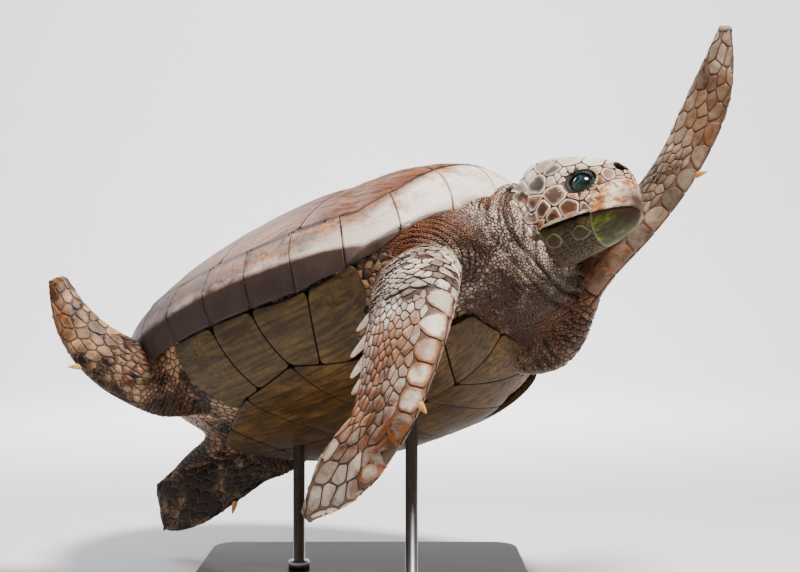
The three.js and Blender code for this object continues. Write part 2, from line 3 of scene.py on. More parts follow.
import bmesh
import bpy
import numpy as np
from mathutils import Euler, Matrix, Vector, kdtree, noise
from mathutils.bvhtree import BVHTree


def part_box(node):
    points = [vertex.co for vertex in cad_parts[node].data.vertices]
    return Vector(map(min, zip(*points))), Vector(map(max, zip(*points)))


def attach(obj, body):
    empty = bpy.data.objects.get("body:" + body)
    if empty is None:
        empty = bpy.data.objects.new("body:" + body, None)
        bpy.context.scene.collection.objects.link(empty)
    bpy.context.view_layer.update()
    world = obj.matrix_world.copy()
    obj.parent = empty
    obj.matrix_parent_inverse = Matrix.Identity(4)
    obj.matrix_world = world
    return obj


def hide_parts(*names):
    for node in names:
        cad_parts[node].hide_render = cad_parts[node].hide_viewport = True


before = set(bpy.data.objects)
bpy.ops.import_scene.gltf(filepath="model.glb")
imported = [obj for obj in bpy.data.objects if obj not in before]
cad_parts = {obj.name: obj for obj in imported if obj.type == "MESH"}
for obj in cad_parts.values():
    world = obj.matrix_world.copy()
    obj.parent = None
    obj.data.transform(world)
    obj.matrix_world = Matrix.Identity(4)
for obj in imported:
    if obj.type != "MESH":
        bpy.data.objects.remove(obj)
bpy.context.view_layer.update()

CAMERA_PLACE = (0.039, -1.233, 0.303)
CAMERA_LENS = 54.0
CAMERA_SENSOR = 36.0
FLOOR_RADIUS = 2.4
FLOOR_CURVE = 2.0
# Each light: where it hangs, what it points at, its size in metres, its watts and its tint.
LIGHTS = {
    "key_light": ((0.5, -0.6, 1.9), (0.0, 0.0, 0.30), 0.4, 84.0, (1.0, 0.96, 0.91)),
    "back_light": ((-0.9, 1.1, 1.4), (0.0, 0.0, 0.30), 0.9, 26.0, (0.93, 0.96, 1.0)),
    "wall_light": ((0.0, 1.3, 1.9), (0.0, 3.6, 0.9), 1.6, 190.0, (1.0, 1.0, 1.0)),
}
SKY_STRENGTH = 0.21
DULL = 0.22


def linear(code):
    """A colour as the shader wants it, from the six digits a colour chart prints."""
    parts = [int(code[i:i + 2], 16) / 255 for i in (0, 2, 4)]
    return tuple(p / 12.92 if p <= 0.04045 else ((p + 0.055) / 1.055) ** 2.4 for p in parts) + (1.0,)


def add_node(tree, kind, inputs=None, **settings):
    """One node, with its settings, and each input set to a value or joined to another node's output."""
    made = tree.nodes.new(kind)
    for key, value in settings.items():
        setattr(made, key, value)
    for key, value in (inputs or {}).items():
        if isinstance(value, bpy.types.NodeSocket):
            tree.links.new(value, made.inputs[key])
        else:
            made.inputs[key].default_value = value
    return made


def attribute(tree, name, output="Fac"):
    """A value that the mesh carries at each of its points."""
    return add_node(tree, "ShaderNodeAttribute", attribute_name=name).outputs[output]


def clouds(tree, vector, scale, detail=2.0, rough=0.5, distortion=0.0):
    """Soft noise, from 0 to 1."""
    inputs = {"Vector": vector, "Scale": scale, "Detail": detail}
    inputs.update({"Roughness": rough, "Distortion": distortion})
    return add_node(tree, "ShaderNodeTexNoise", inputs).outputs[0]


def ranged(tree, value, low, high, first=0.0, last=1.0, clamp=True):
    """A value stretched so that low and high become first and last."""
    inputs = {"Value": value, "From Min": low, "From Max": high, "To Min": first, "To Max": last}
    return add_node(tree, "ShaderNodeMapRange", inputs, clamp=clamp).outputs[0]


def maths(tree, operation, *values, clamp=False):
    """One sum on values."""
    inputs = dict(enumerate(values))
    return add_node(tree, "ShaderNodeMath", inputs, operation=operation, use_clamp=clamp).outputs[0]


def mixed(tree, share, under, over, blend="MIX"):
    """One colour laid over another by a share; a colour can be given by its six digits."""
    under, over = (linear(colour) if isinstance(colour, str) else colour for colour in (under, over))
    inputs = {"Factor": share, "A": under, "B": over}
    return add_node(tree, "ShaderNodeMix", inputs, data_type="RGBA", blend_type=blend).outputs[2]


def new_material(name):
    """An empty node material with its Principled shader."""
    material = bpy.data.materials.new(name)
    material.use_nodes = True
    tree = material.node_tree
    shader = tree.nodes["Principled BSDF"]
    shader.inputs["Specular IOR Level"].default_value = DULL
    return material, tree, shader


def ramped(tree, value, stops):
    """A colour read off a scale of (place, colour) stops."""
    made = add_node(tree, "ShaderNodeValToRGB", {"Fac": value})
    elements = made.color_ramp.elements
    elements[0].position, elements[0].color = stops[0][0], linear(stops[0][1])
    elements[1].position, elements[1].color = stops[-1][0], linear(stops[-1][1])
    for place, code in stops[1:-1]:
        elements.new(place).color = linear(code)
    return made.outputs[0]


def dressed(tree, shader, colour, rough, height, strength, distance):
    """Gives a shader its colour, its roughness and its relief."""
    inputs = {"Strength": strength, "Distance": distance, "Height": height}
    relief = add_node(tree, "ShaderNodeBump", inputs).outputs[0]
    for name, value in (("Base Color", colour), ("Roughness", rough), ("Normal", relief)):
        tree.links.new(value, shader.inputs[name])


def mesh_object(name, points, faces, smooth=True):
    """An object at the origin from its points and faces."""
    mesh = bpy.data.meshes.new(name)
    mesh.from_pydata([tuple(p) for p in points], [], faces)
    mesh.polygons.foreach_set("use_smooth", [smooth] * len(mesh.polygons))
    made = bpy.data.objects.new(name, mesh)
    bpy.context.scene.collection.objects.link(made)
    return made


def studio():
    rings = [(0.0, 0.0)]
    rings += [(FLOOR_RADIUS * k / 4, 0.0) for k in range(1, 5)]
    for k in range(1, 13):
        turn = math.pi / 2 * k / 12
        rings.append((FLOOR_RADIUS + FLOOR_CURVE * math.sin(turn), FLOOR_CURVE * (1 - math.cos(turn))))
    around = 96
    points = [(0.0, 0.0, 0.0)]
    for radius, height in rings[1:]:
        for i in range(around):
            turn = 2 * math.pi * i / around
            points.append((radius * math.cos(turn), radius * math.sin(turn), height))
    faces = [(0, 1 + i, 1 + (i + 1) % around) for i in range(around)]
    for row in range(len(rings) - 2):
        low = 1 + row * around
        for i in range(around):
            j = (i + 1) % around
            faces.append((low + i, low + around + i, low + around + j, low + j))
    floor = mesh_object("floor", points, faces)
    material, tree, shader = new_material("pale_floor")
    place = add_node(tree, "ShaderNodeTexCoord")
    grain = clouds(tree, place.outputs["Object"], 9.0, 4.0)
    tone = ranged(tree, grain, 0.0, 1.0, 0.86, 0.89)
    tree.links.new(tone, shader.inputs["Base Color"])
    shader.inputs["Roughness"].default_value = 0.9
    floor.data.materials.append(material)

    for name, (spot, aim, size, watts, tint) in LIGHTS.items():
        lamp = bpy.data.lights.new(name, "AREA")
        lamp.shape = "DISK"
        lamp.size = size
        lamp.energy = watts
        lamp.color = tint
        holder = bpy.data.objects.new(name, lamp)
        holder.location = spot
        away = Vector(spot) - Vector(aim)
        holder.rotation_euler = away.to_track_quat("Z", "Y").to_euler()
        bpy.context.scene.collection.objects.link(holder)

    world = bpy.data.worlds.new("studio_air")
    world.use_nodes = True
    world.node_tree.nodes["Background"].inputs["Color"].default_value = (0.93, 0.95, 1.0, 1.0)
    world.node_tree.nodes["Background"].inputs["Strength"].default_value = SKY_STRENGTH
    bpy.context.scene.world = world

    lens = bpy.data.cameras.new("camera")
    lens.lens = CAMERA_LENS
    lens.sensor_width = CAMERA_SENSOR
    camera = bpy.data.objects.new("camera", lens)
    camera.location = CAMERA_PLACE
    camera.rotation_euler = (math.pi / 2, 0.0, 0.0)
    bpy.context.scene.collection.objects.link(camera)
    bpy.context.scene.camera = camera


studio()

# ------------------------------------------------------------------------------------------------
# The shell's form. The turtle is drawn level in a frame of its own (x to the snout, y to its left,
# z to its back, one unit for the length of its shell), then pitched and banked over the stand. The
# rim is one closed curve seen from above; the back and the belly are two domes that meet on it.
# ------------------------------------------------------------------------------------------------
SHELL_LENGTH = 0.480
BODY_HEIGHT = 0.53 * SHELL_LENGTH
MM = 0.001 / SHELL_LENGTH
PLATE = 0.010
HEADING, PITCH, BANK = math.radians(-31.0), math.radians(22.5), math.radians(-20.5)
AXES = np.array(Euler((BANK, -PITCH, HEADING)).to_matrix())

FRONT_END, REAR_END, HALF_WIDTH, WIDEST_AT = 0.44, -0.555, 0.378, -0.067
FRONT_FULLNESS, REAR_FULLNESS = 3.1, 2.3
DOME_HEIGHT, DOME_PEAK_AT, DOME_FALL = 0.288, 0.10, 0.37
BELLY_DEPTH, BELLY_PEAK_AT, BELLY_RISE, BELLY_FALL = 0.212, 0.22, 0.28, 0.17
DOME_SPAN, DOME_ROUND, DOME_FLANK, DOME_END = 0.9, 2.1, 0.77, 0.5
BELLY_AHEAD, BELLY_BEHIND, BELLY_ROUND, BELLY_FULL, BELLY_RIM = 0.45, 0.6, 3.9, 0.64, 6
END_SPAN = 0.5
SLOPE_STEP = 0.002
STEEPEST = 3.0
RIM = [[-0.555, 0.062], [-0.44, 0.042], [-0.34, 0.02], [-0.2, 0.004], [-0.05, 0], [0.12, -0.014],
       [0.26, -0.025], [0.33, 0.01], [0.4, 0.072], [0.44, 0.112]]
RING_TOP_FLANK, RING_TOP_END = 0.03, 0.062
RING_LOW = [[-0.555, 0.03], [-0.2, 0.018], [0.14, 0.018], [0.26, 0.005], [0.44, 0.005]]
HOLLOW_AT, HOLLOW_HEIGHT, HOLLOW_SLOPE = 0.16, -0.10, 0.62


def to_room(points):
    """Points of the turtle's frame in the room, in metres."""
    return np.asarray(points, float) @ AXES.T * SHELL_LENGTH + np.array([0.0, 0.0, BODY_HEIGHT])


def look_up(pairs, x):
    return np.interp(x, [p[0] for p in pairs], [p[1] for p in pairs])


def smooth_step(low, high, value):
    t = np.clip((value - low) / (high - low), 0.0, 1.0)
    return t * t * (3 - 2 * t)


def rim_point(turn, shrink=0.0):
    """The rim seen from above, or a line that runs inside it."""
    c = np.cos(turn)
    reach = np.where(c > 0, FRONT_END - WIDEST_AT, WIDEST_AT - REAR_END)
    fullness = np.where(c > 0, FRONT_FULLNESS, REAR_FULLNESS)
    y = HALF_WIDTH * np.sqrt(np.maximum(0.0, 1 - np.abs(c) ** fullness)) * np.sign(np.sin(turn))
    x = WIDEST_AT + reach * c
    fit = 1 - shrink / np.hypot(x, y)
    return x * fit, y * fit, x


TURNS = np.linspace(-math.pi, math.pi, 1441)
RIM_X, RIM_Y, _ = rim_point(TURNS)
RIM_ANGLE = np.unwrap(np.arctan2(RIM_Y, RIM_X))
RIM_ANGLE[0], RIM_ANGLE[-1] = -math.pi, math.pi


def shell_place(x, y):
    """For a plan point: the rim's station in its direction, and how far out it lies (1 on the rim)."""
    turn = np.interp(np.arctan2(y, x), RIM_ANGLE, TURNS)
    rim_x, rim_y, span = rim_point(turn)
    return span, np.hypot(x, y) / np.hypot(rim_x, rim_y)


def crown_height(x, rho, span):
    """How far the back rises over the plane of the rim."""
    crown = DOME_HEIGHT * (1 - DOME_FALL * ((x - DOME_PEAK_AT) / DOME_SPAN) ** 2)
    ends = (span / END_SPAN) ** 2
    return crown * np.maximum(0, 1 - rho ** DOME_ROUND) ** (DOME_FLANK + (DOME_END - DOME_FLANK) * ends)


def belly_drop(x, rho):
    """How far the belly hangs under the plane of the rim."""
    ahead = np.maximum(0, (x - BELLY_PEAK_AT) / BELLY_AHEAD) ** 2 * BELLY_RISE
    behind = np.maximum(0, (BELLY_PEAK_AT - x) / BELLY_BEHIND) ** 2 * BELLY_FALL
    return BELLY_DEPTH * (1 - ahead - behind) * np.maximum(0, 1 - rho ** BELLY_ROUND) ** BELLY_FULL


def dome_height(x, y):
    span, rho = shell_place(x, y)
    return look_up(RIM, span) * rho ** 2 + crown_height(x, rho, span)


def belly_height(x, y):
    span, rho = shell_place(x, y)
    return look_up(RIM, span) * rho ** BELLY_RIM - belly_drop(x, rho)


def on_surface(height, x, y, side):
    """Points of a dome and its outward directions there."""
    step = SLOPE_STEP
    z = height(x, y)
    slope_x = (height(x + step, y) - height(x - step, y)) / (2 * step)
    slope_y = (height(x, y + step) - height(x, y - step)) / (2 * step)
    limit = np.minimum(1.0, STEEPEST / np.maximum(np.hypot(slope_x, slope_y), 1e-9))
    normal = np.stack([-slope_x * limit, -slope_y * limit, np.ones_like(z)], -1) * side
    normal /= np.linalg.norm(normal, axis=-1, keepdims=True)
    return np.stack([x, y, z], -1), normal


def values_of(items, name, width=1, kind=float):
    """One value of every point, edge, corner or face of a mesh."""
    flat = np.zeros(len(items) * width, kind)
    items.foreach_get(name, flat)
    return flat.reshape(-1, width) if width > 1 else flat


def body_frame(piece):
    """Gives a piece the turtle's own coordinates, for its patterns, and then its place in the room."""
    mesh = piece.data
    own = values_of(mesh.vertices, "co", 3, np.float32)
    attribute_of = mesh.attributes.new("body", "FLOAT_VECTOR", "POINT")
    attribute_of.data.foreach_set("vector", own.ravel())
    mesh.vertices.foreach_set("co", to_room(own).astype(np.float32).ravel())
    mesh.update()


def settled(piece, material, slot, *nodes):
    """A drawn piece with its finish, in its place in the room and in the frame."""
    body_frame(piece)
    piece.data.materials.append(material)
    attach(piece, "root")
    if nodes:
        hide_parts(*nodes)
    return piece


def give_floats(piece, name, values):
    made = piece.data.attributes.new(name, "FLOAT", "POINT")
    made.data.foreach_set("value", np.asarray(values, np.float32))


# ------------------------------------------------------------------------------------------------
# The horn plates of the back and belly. Each is one closed plate of horn with its edge rolled down
# into the seam, faint growth rings that copy its outline and a worn, streaked face; the plates lie
# edge to edge on the bone with only a dark seam between them.
# ------------------------------------------------------------------------------------------------
SPINE = [[0.36, 0.19], [0.255, 0.10], [0.165, 0.155], [0.065, 0.09], [-0.03, 0.15], [-0.13, 0.085],
         [-0.215, 0.125], [-0.305, 0.06], [-0.375, 0.12], [-0.47, 0.14]]
COSTAL_ENDS = [[0.08, 0.5], [-0.12, 0.5], [-0.31, 0.5]]
BEYOND = 0.62
KEEL = {"front": 0.335, "gular": 0.21, "humeral": 0.13, "pectoral": 0.03, "abdominal": -0.10,
        "femoral": -0.25, "rear": -0.37}
LOBE = {"gularTip": [0.332, 0.10], "gularCorner": [0.285, 0.145], "humeral": [0.19, 0.205],
        "notch": [0.13, 0.225], "pectoral": [0.018, 0.272], "abdominal": [-0.13, 0.24],
        "inguinal": [-0.17, 0.215], "femoral": [-0.255, 0.155], "anal": [-0.345, 0.07]}
BRIDGE_FRONT, BRIDGE_REAR = 0.235, -0.22
BRIDGE_SEAMS = [([-0.109, 0.40], [-0.083, 0.255]), ([-0.006, 0.40], [0.019, 0.268]),
                ([0.165, 0.40], [0.073, 0.25])]
SEAM_HALF = 0.45 * MM
PLATE_DEPTH = 7.0 * MM
ROLL = 1.7 * MM
ROLL_DEPTH = 0.9 * MM
RINGS_OUT = 16
ROLL_STEPS = (0.0, 0.22, 0.5, 1.0)
PLATE_STEP = 0.0075
GROWTH_STEP, GROWTH_DEPTH = 2.3 * MM, 0.16 * MM
PLATE_CROWN = 0.5 * MM
INSIDE = -3.0     # the edge value of a plate's inner face: less than any outer one, and far from the border


def clipped(outline, keeps):
    """The part of a plan outline on the inner side of every (point, outward direction) line."""
    for at, direction in keeps:
        kept = []
        for i, end in enumerate(outline):
            start = outline[i - 1]
            a = (start[0] - at[0]) * direction[0] + (start[1] - at[1]) * direction[1]
            b = (end[0] - at[0]) * direction[0] + (end[1] - at[1]) * direction[1]
            if a * b < 0:
                t = a / (a - b)
                kept.append([start[0] + (end[0] - start[0]) * t, start[1] + (end[1] - start[1]) * t])
            if b <= 0:
                kept.append(end)
        outline = kept
        if len(outline) < 3:
            return []
    return outline


def border_lines(width, around=180):
    """Straight cuts that together follow the inner border of the rim plates."""
    turns = np.linspace(-math.pi, math.pi, around, endpoint=False) + 0.001
    _, _, span = rim_point(turns)
    x, y, _ = rim_point(turns, width(span))
    lines = []
    for i in range(around):
        j = (i + 1) % around
        run = (x[j] - x[i], y[j] - y[i])
        size = math.hypot(*run)
        lines.append(((x[i], y[i]), (run[1] / size, -run[0] / size)))
    return lines


def top_width(span):
    ends = (span / 0.5) ** 2
    return RING_TOP_FLANK + (RING_TOP_END - RING_TOP_FLANK) * ends


def low_width(span):
    return look_up(RING_LOW, span)


TOP_BORDER = border_lines(top_width)
LOW_BORDER = border_lines(low_width)


def evenly(outline, step):
    """A closed outline with its points a step apart and its corners eased."""
    points = np.array(outline + [outline[0]], float)
    runs = np.linalg.norm(np.diff(points, axis=0), axis=1)
    places = np.concatenate([[0], np.cumsum(runs)])
    count = max(12, int(places[-1] / step))
    at = np.linspace(0, places[-1], count, endpoint=False)
    loop = np.stack([np.interp(at, places, points[:, k]) for k in (0, 1)], -1)
    for _ in range(2):
        loop = (np.roll(loop, 1, 0) + loop * 2 + np.roll(loop, -1, 0)) / 4
    return loop


def signed_area(loop):
    return 0.5 * np.sum(loop[:, 0] * np.roll(loop[:, 1], -1) - np.roll(loop[:, 0], -1) * loop[:, 1])


def ring_faces(rows, around):
    """The faces between rings of points that are stored one after another."""
    faces = []
    for row in range(rows - 1):
        a = row * around
        for i in range(around):
            j = (i + 1) % around
            faces.append((a + i, a + j, a + around + j, a + around + i))
    return faces


def rod_faces(rows, around):
    """The faces of a closed rod made of rings of points."""
    last = (rows - 1) * around
    ends = [tuple(reversed(range(around))), tuple(last + i for i in range(around))]
    return ends + ring_faces(rows, around)


def inside_by(loop, distance):
    """The same closed loop drawn a distance in."""
    run = np.roll(loop, -1, 0) - np.roll(loop, 1, 0)
    inward = np.stack([-run[:, 1], run[:, 0]], -1) * np.sign(signed_area(loop))
    inward /= np.linalg.norm(inward, axis=1, keepdims=True) + 1e-12
    return loop + inward * distance


def horn_plate(outline, height, side):
    """Points, faces and edge values of one closed plate over a dome."""
    border = evenly(outline, PLATE_STEP)
    flat = np.abs(on_surface(height, border[:, 0] * 0.985, border[:, 1] * 0.985, side)[1][:, 2])
    border = inside_by(border, (SEAM_HALF * flat)[:, None])
    middle = border.mean(0)
    count = len(border)
    reach = np.linalg.norm(border - middle, axis=1)
    roll = ROLL * flat
    shares = [1 - part * roll / reach for part in ROLL_STEPS]
    shares += [(1 - roll / reach) * (1 - k / RINGS_OUT) ** 1.15 for k in range(1, RINGS_OUT)]
    drops = [ROLL_DEPTH * (1 - math.sqrt(1 - (1 - part) ** 2)) for part in ROLL_STEPS]
    drops += [0.0] * (len(shares) - len(drops))
    rows, edge = [], []
    for share, drop in zip(shares, drops):
        plan = middle + (border - middle) * share[:, None]
        where, normal = on_surface(height, plan[:, 0], plan[:, 1], side)
        gap = reach * (1 - share)
        fade = smooth_step(0.0, 2 * ROLL, gap)
        wave = GROWTH_DEPTH * np.sin(gap / GROWTH_STEP * 2 * math.pi)
        ring = wave * fade * (1 - smooth_step(12 * MM, 30 * MM, gap))
        crown = PLATE_CROWN * smooth_step(0.0, 18 * MM, gap)
        rows.append(where + normal * (ring - drop + crown - PLATE_CROWN)[:, None])
        edge.append(gap / MM)
    tip, tip_normal = on_surface(height, middle[None, 0], middle[None, 1], side)
    where, normal = on_surface(height, border[:, 0], border[:, 1], side)
    rows = [where - normal * PLATE_DEPTH] + rows
    stacked = np.concatenate(rows + [tip, tip - tip_normal * PLATE_DEPTH])
    edges = np.concatenate([np.full(count, INSIDE)] + edge + [[reach.min() / MM], [INSIDE]])
    faces = ring_faces(len(rows), count)
    last = (len(rows) - 1) * count
    top = len(rows) * count
    for i in range(count):
        j = (i + 1) % count
        faces.append((last + i, last + j, top))
        faces.append((j, i, top + 1))
    if signed_area(border) * side < 0:
        faces = [tuple(reversed(f)) for f in faces]
    return stacked, faces, edges


def joined(parts):
    """Several lists of points, faces and values as one."""
    points, faces, values, start = [], [], [], 0
    for part_points, part_faces, part_values in parts:
        points.append(part_points)
        faces += [tuple(i + start for i in face) for face in part_faces]
        values.append(part_values)
        start += len(part_points)
    return np.concatenate(points), faces, np.concatenate(values)


HORN_COLOURS = ("Base", "Worn", "Dark")
HORN_VALUES = ("Wear", "Speckle", "Streak")


def new_group(name, colours, values):
    """An empty group for a finish, with its sockets, and what it is given."""
    tree = bpy.data.node_groups.new(name, "ShaderNodeTree")
    inputs = [(word, "Color") for word in colours] + [(word, "Float") for word in values]
    outputs = [("Color", "Color"), ("Height", "Float"), ("Roughness", "Float")]
    for way, sockets in (("INPUT", inputs), ("OUTPUT", outputs)):
        for word, kind in sockets:
            tree.interface.new_socket(word, in_out=way, socket_type="NodeSocket" + kind)
    return tree, add_node(tree, "NodeGroupInput").outputs


def group_material(name, group, settings, bump, distance):
    """A material that takes its colour, height and roughness from a group."""
    material, tree, shader = new_material(name)
    made = add_node(tree, "ShaderNodeGroup", node_tree=group)
    for key, value in settings.items():
        made.inputs[key].default_value = linear(value) if isinstance(value, str) else value
    out = made.outputs
    dressed(tree, shader, out["Color"], out["Roughness"], out["Height"], bump, distance)
    return material


def horn_group():
    """Colour and height for worn horn: streaks along the body, blotches, speckle and dark edges."""
    tree, given = new_group("worn_horn", HORN_COLOURS, HORN_VALUES)
    body = attribute(tree, "body", "Vector")
    edge = attribute(tree, "edge")
    along = add_node(tree, "ShaderNodeMapping", {"Vector": body, "Scale": (4.0, 52.0, 52.0)})
    streak = clouds(tree, along.outputs[0], 2.4, 6.0, 0.6)
    blotch = clouds(tree, body, 11.0, 6.0, 0.62, 0.6)
    speck = clouds(tree, body, 120.0, 3.0, 0.7)
    worn_by = maths(tree, "ADD", blotch, given["Wear"])
    worn_at = ranged(tree, worn_by, 0.85, 1.2)
    first = mixed(tree, worn_at, given["Base"], given["Worn"])
    lines = ranged(tree, streak, 0.44, 0.6)
    lined = maths(tree, "MULTIPLY", lines, given["Streak"])
    second = mixed(tree, lined, first, given["Dark"])
    spots = ranged(tree, speck, 0.55, 0.66)
    patch = clouds(tree, body, 7.0, 3.0)
    patch_at = ranged(tree, patch, 0.45, 0.62)
    spotted = maths(tree, "MULTIPLY", spots, patch_at)
    speckled = maths(tree, "MULTIPLY", spotted, given["Speckle"])
    third = mixed(tree, speckled, second, given["Dark"])
    rim = ranged(tree, edge, 0.2, 1.1, 0.9, 0.0)
    last = mixed(tree, rim, third, given["Dark"])
    growth = maths(tree, "MULTIPLY", edge, 2.6)
    wave = maths(tree, "SINE", growth)
    shallow = maths(tree, "MULTIPLY", wave, 0.12)
    rough = maths(tree, "ADD", streak, speck)
    height = maths(tree, "ADD", rough, shallow)
    dull = ranged(tree, blotch, 0.3, 0.7, 0.44, 0.66)
    add_node(tree, "NodeGroupOutput", {"Color": last, "Height": height, "Roughness": dull})
    return tree


HORN = horn_group()


def horn_material(name, *settings):
    return group_material(name, HORN, dict(zip(HORN_COLOURS + HORN_VALUES, settings)), 0.25, 0.0008)


BACK_HORN = horn_material("back_horn", "7a4420", "c79a78", "2a140a", 0.38, 0.9, 0.9)
# The belly and bridge colours are darker than their horn: painted shade on the underside.
BELLY_HORN = horn_material("belly_horn", "48300f", "7c5a28", "1c0f05", 0.36, 1.0, 0.8)
BRIDGE_HORN = horn_material("bridge_horn", "48361a", "70582e", "1a1008", 0.36, 1.0, 0.7)


SHELL_OUTERS = []


def finish_plate(name, parts, material, slot, node):
    points, faces, edges = joined(parts)
    for part_points, part_faces, part_edges in parts:
        outer = [f for f in part_faces if max(part_edges[i] for i in f) > 0.2]
        SHELL_OUTERS.append((part_points, outer, np.zeros(len(part_points))))
    piece = mesh_object(name, points, faces)
    give_floats(piece, "edge", np.abs(edges))
    return settled(piece, material, slot, node)


def mirrored(outline):
    return [[x, -y] for x, y in outline]


halves = [[[BEYOND, 0.33], SPINE[0], SPINE[1]], SPINE[1:4], SPINE[3:6], SPINE[5:8],
          [SPINE[7], SPINE[8], SPINE[9], [-BEYOND, 0.14]]]
for number, half in enumerate(halves, 1):
    outline = clipped(half + mirrored(half)[::-1], TOP_BORDER)
    plate = horn_plate(outline, dome_height, 1)
    finish_plate(f"vertebral_plate_{number}", [plate], BACK_HORN, "carapace", f"vertebral_{number}")

end_a, end_b, end_c = COSTAL_ENDS
flanks = [[SPINE[0], SPINE[1], SPINE[2], end_a, [BEYOND, 0.5], [BEYOND, 0.33]],
          [SPINE[2], SPINE[3], SPINE[4], end_b, end_a],
          [SPINE[4], SPINE[5], SPINE[6], end_c, end_b],
          [SPINE[6], SPINE[7], SPINE[8], SPINE[9], [-BEYOND, 0.14], [-BEYOND, 0.5], end_c]]
for side, word in ((1, "left"), (-1, "right")):
    for number, flank in enumerate(flanks, 1):
        outline = clipped(flank if side == 1 else mirrored(flank), TOP_BORDER)
        plate = horn_plate(outline, dome_height, 1)
        name = f"costal_plate_{word}_{number}"
        finish_plate(name, [plate], BACK_HORN, "carapace", f"costal_{word}_{number}")


def belly_outlines():
    mid = {name: [x, 0.0] for name, x in KEEL.items()}
    lobe = LOBE
    bridge = [lobe["notch"], [BRIDGE_FRONT, 0.3], [BRIDGE_FRONT, 0.5], [BRIDGE_REAR, 0.5], [BRIDGE_REAR, 0.3],
              lobe["inguinal"], lobe["abdominal"], lobe["pectoral"]]
    parts = []
    for k in range(4):
        keeps = []
        for i, (outer, inner) in enumerate(BRIDGE_SEAMS):
            run = (inner[0] - outer[0], inner[1] - outer[1])
            size = math.hypot(*run)
            forward = (-run[1] / size, run[0] / size)
            if i == k - 1:
                keeps.append((outer, (-forward[0], -forward[1])))
            if i == k:
                keeps.append((outer, forward))
        parts.append(clipped(bridge, keeps))
    return {
        "gular": [[mid["front"], lobe["gularTip"], lobe["gularCorner"], mid["gular"]]],
        "humeral": [[mid["gular"], lobe["gularCorner"], lobe["humeral"], mid["humeral"]]],
        "pectoral": [[mid["humeral"], lobe["humeral"], lobe["notch"], lobe["pectoral"], mid["pectoral"]]],
        "abdominal": [[mid["pectoral"], lobe["pectoral"], lobe["abdominal"], mid["abdominal"]]],
        "femoral": [[mid["abdominal"], lobe["abdominal"], lobe["inguinal"], lobe["femoral"], mid["femoral"]]],
        "anal": [[mid["femoral"], lobe["femoral"], lobe["anal"], mid["rear"]]],
        "bridge": parts,
    }


for side, word in ((1, "left"), (-1, "right")):
    for name, outlines in belly_outlines().items():
        plates = []
        for outline in outlines:
            cut = clipped(outline if side == 1 else mirrored(outline), LOW_BORDER)
            if len(cut) > 2:
                plates.append(horn_plate(cut, belly_height, -1))
        finish = BRIDGE_HORN if name == "bridge" else BELLY_HORN
        finish_plate(f"{name}_plate_{word}", plates, finish, "plastron", f"{name}_{word}")

# ------------------------------------------------------------------------------------------------
# The rim plates: twelve a side and the one over the neck. Each wraps over the keeled edge of the
# shell, pale above with painted highlights at the front and along the keel and darker below with
# painted shade, and is thin and open underneath over the shoulders.
# ------------------------------------------------------------------------------------------------
NUCHAL_HALF = 0.10
RIM_PLATES = 12
OUTLINE = np.stack(rim_point(np.linspace(0, math.pi, 1441))[:2], -1)
OUTLINE_RUN = np.concatenate([[0], np.cumsum(np.linalg.norm(np.diff(OUTLINE, axis=0), axis=1))])
OUTLINE_TURN = np.linspace(0, math.pi, 1441)
NUCHAL_RUN = float(np.interp(NUCHAL_HALF, OUTLINE[:600, 1], OUTLINE_RUN[:600]))
RIM_THICK = 0.011
RIM_SEAM = 1.3 * MM


def rim_section(run, side, wrap):
    """Points of the rim plates' surface: run along the outline, wrap from -1 (inner edge above)
    through 0 (the keel) to 1 (inner edge below)."""
    turn = np.interp(np.abs(run), OUTLINE_RUN, OUTLINE_TURN) * np.sign(run) * side
    _, _, span = rim_point(turn)
    over = wrap < 0
    under_front = smooth_step(0.16, 0.36, span)
    low = low_width(span)
    inner = np.where(over, top_width(span), low + (top_width(span) * 0.9 - low) * under_front)
    shrink = (inner - np.where(over, RIM_SEAM, 0.0)) * np.abs(wrap) ** 1.7
    x, y, _ = rim_point(turn, shrink)
    top = dome_height(x, y)
    plane = HOLLOW_HEIGHT + HOLLOW_SLOPE * (x - HOLLOW_AT)
    thick = RIM_THICK * np.minimum(1, np.abs(wrap) * 3)
    under = np.maximum(belly_height(x, y), np.minimum(plane, look_up(RIM, span) - thick))
    return np.stack([x, y, np.where(over, top, under)], -1)


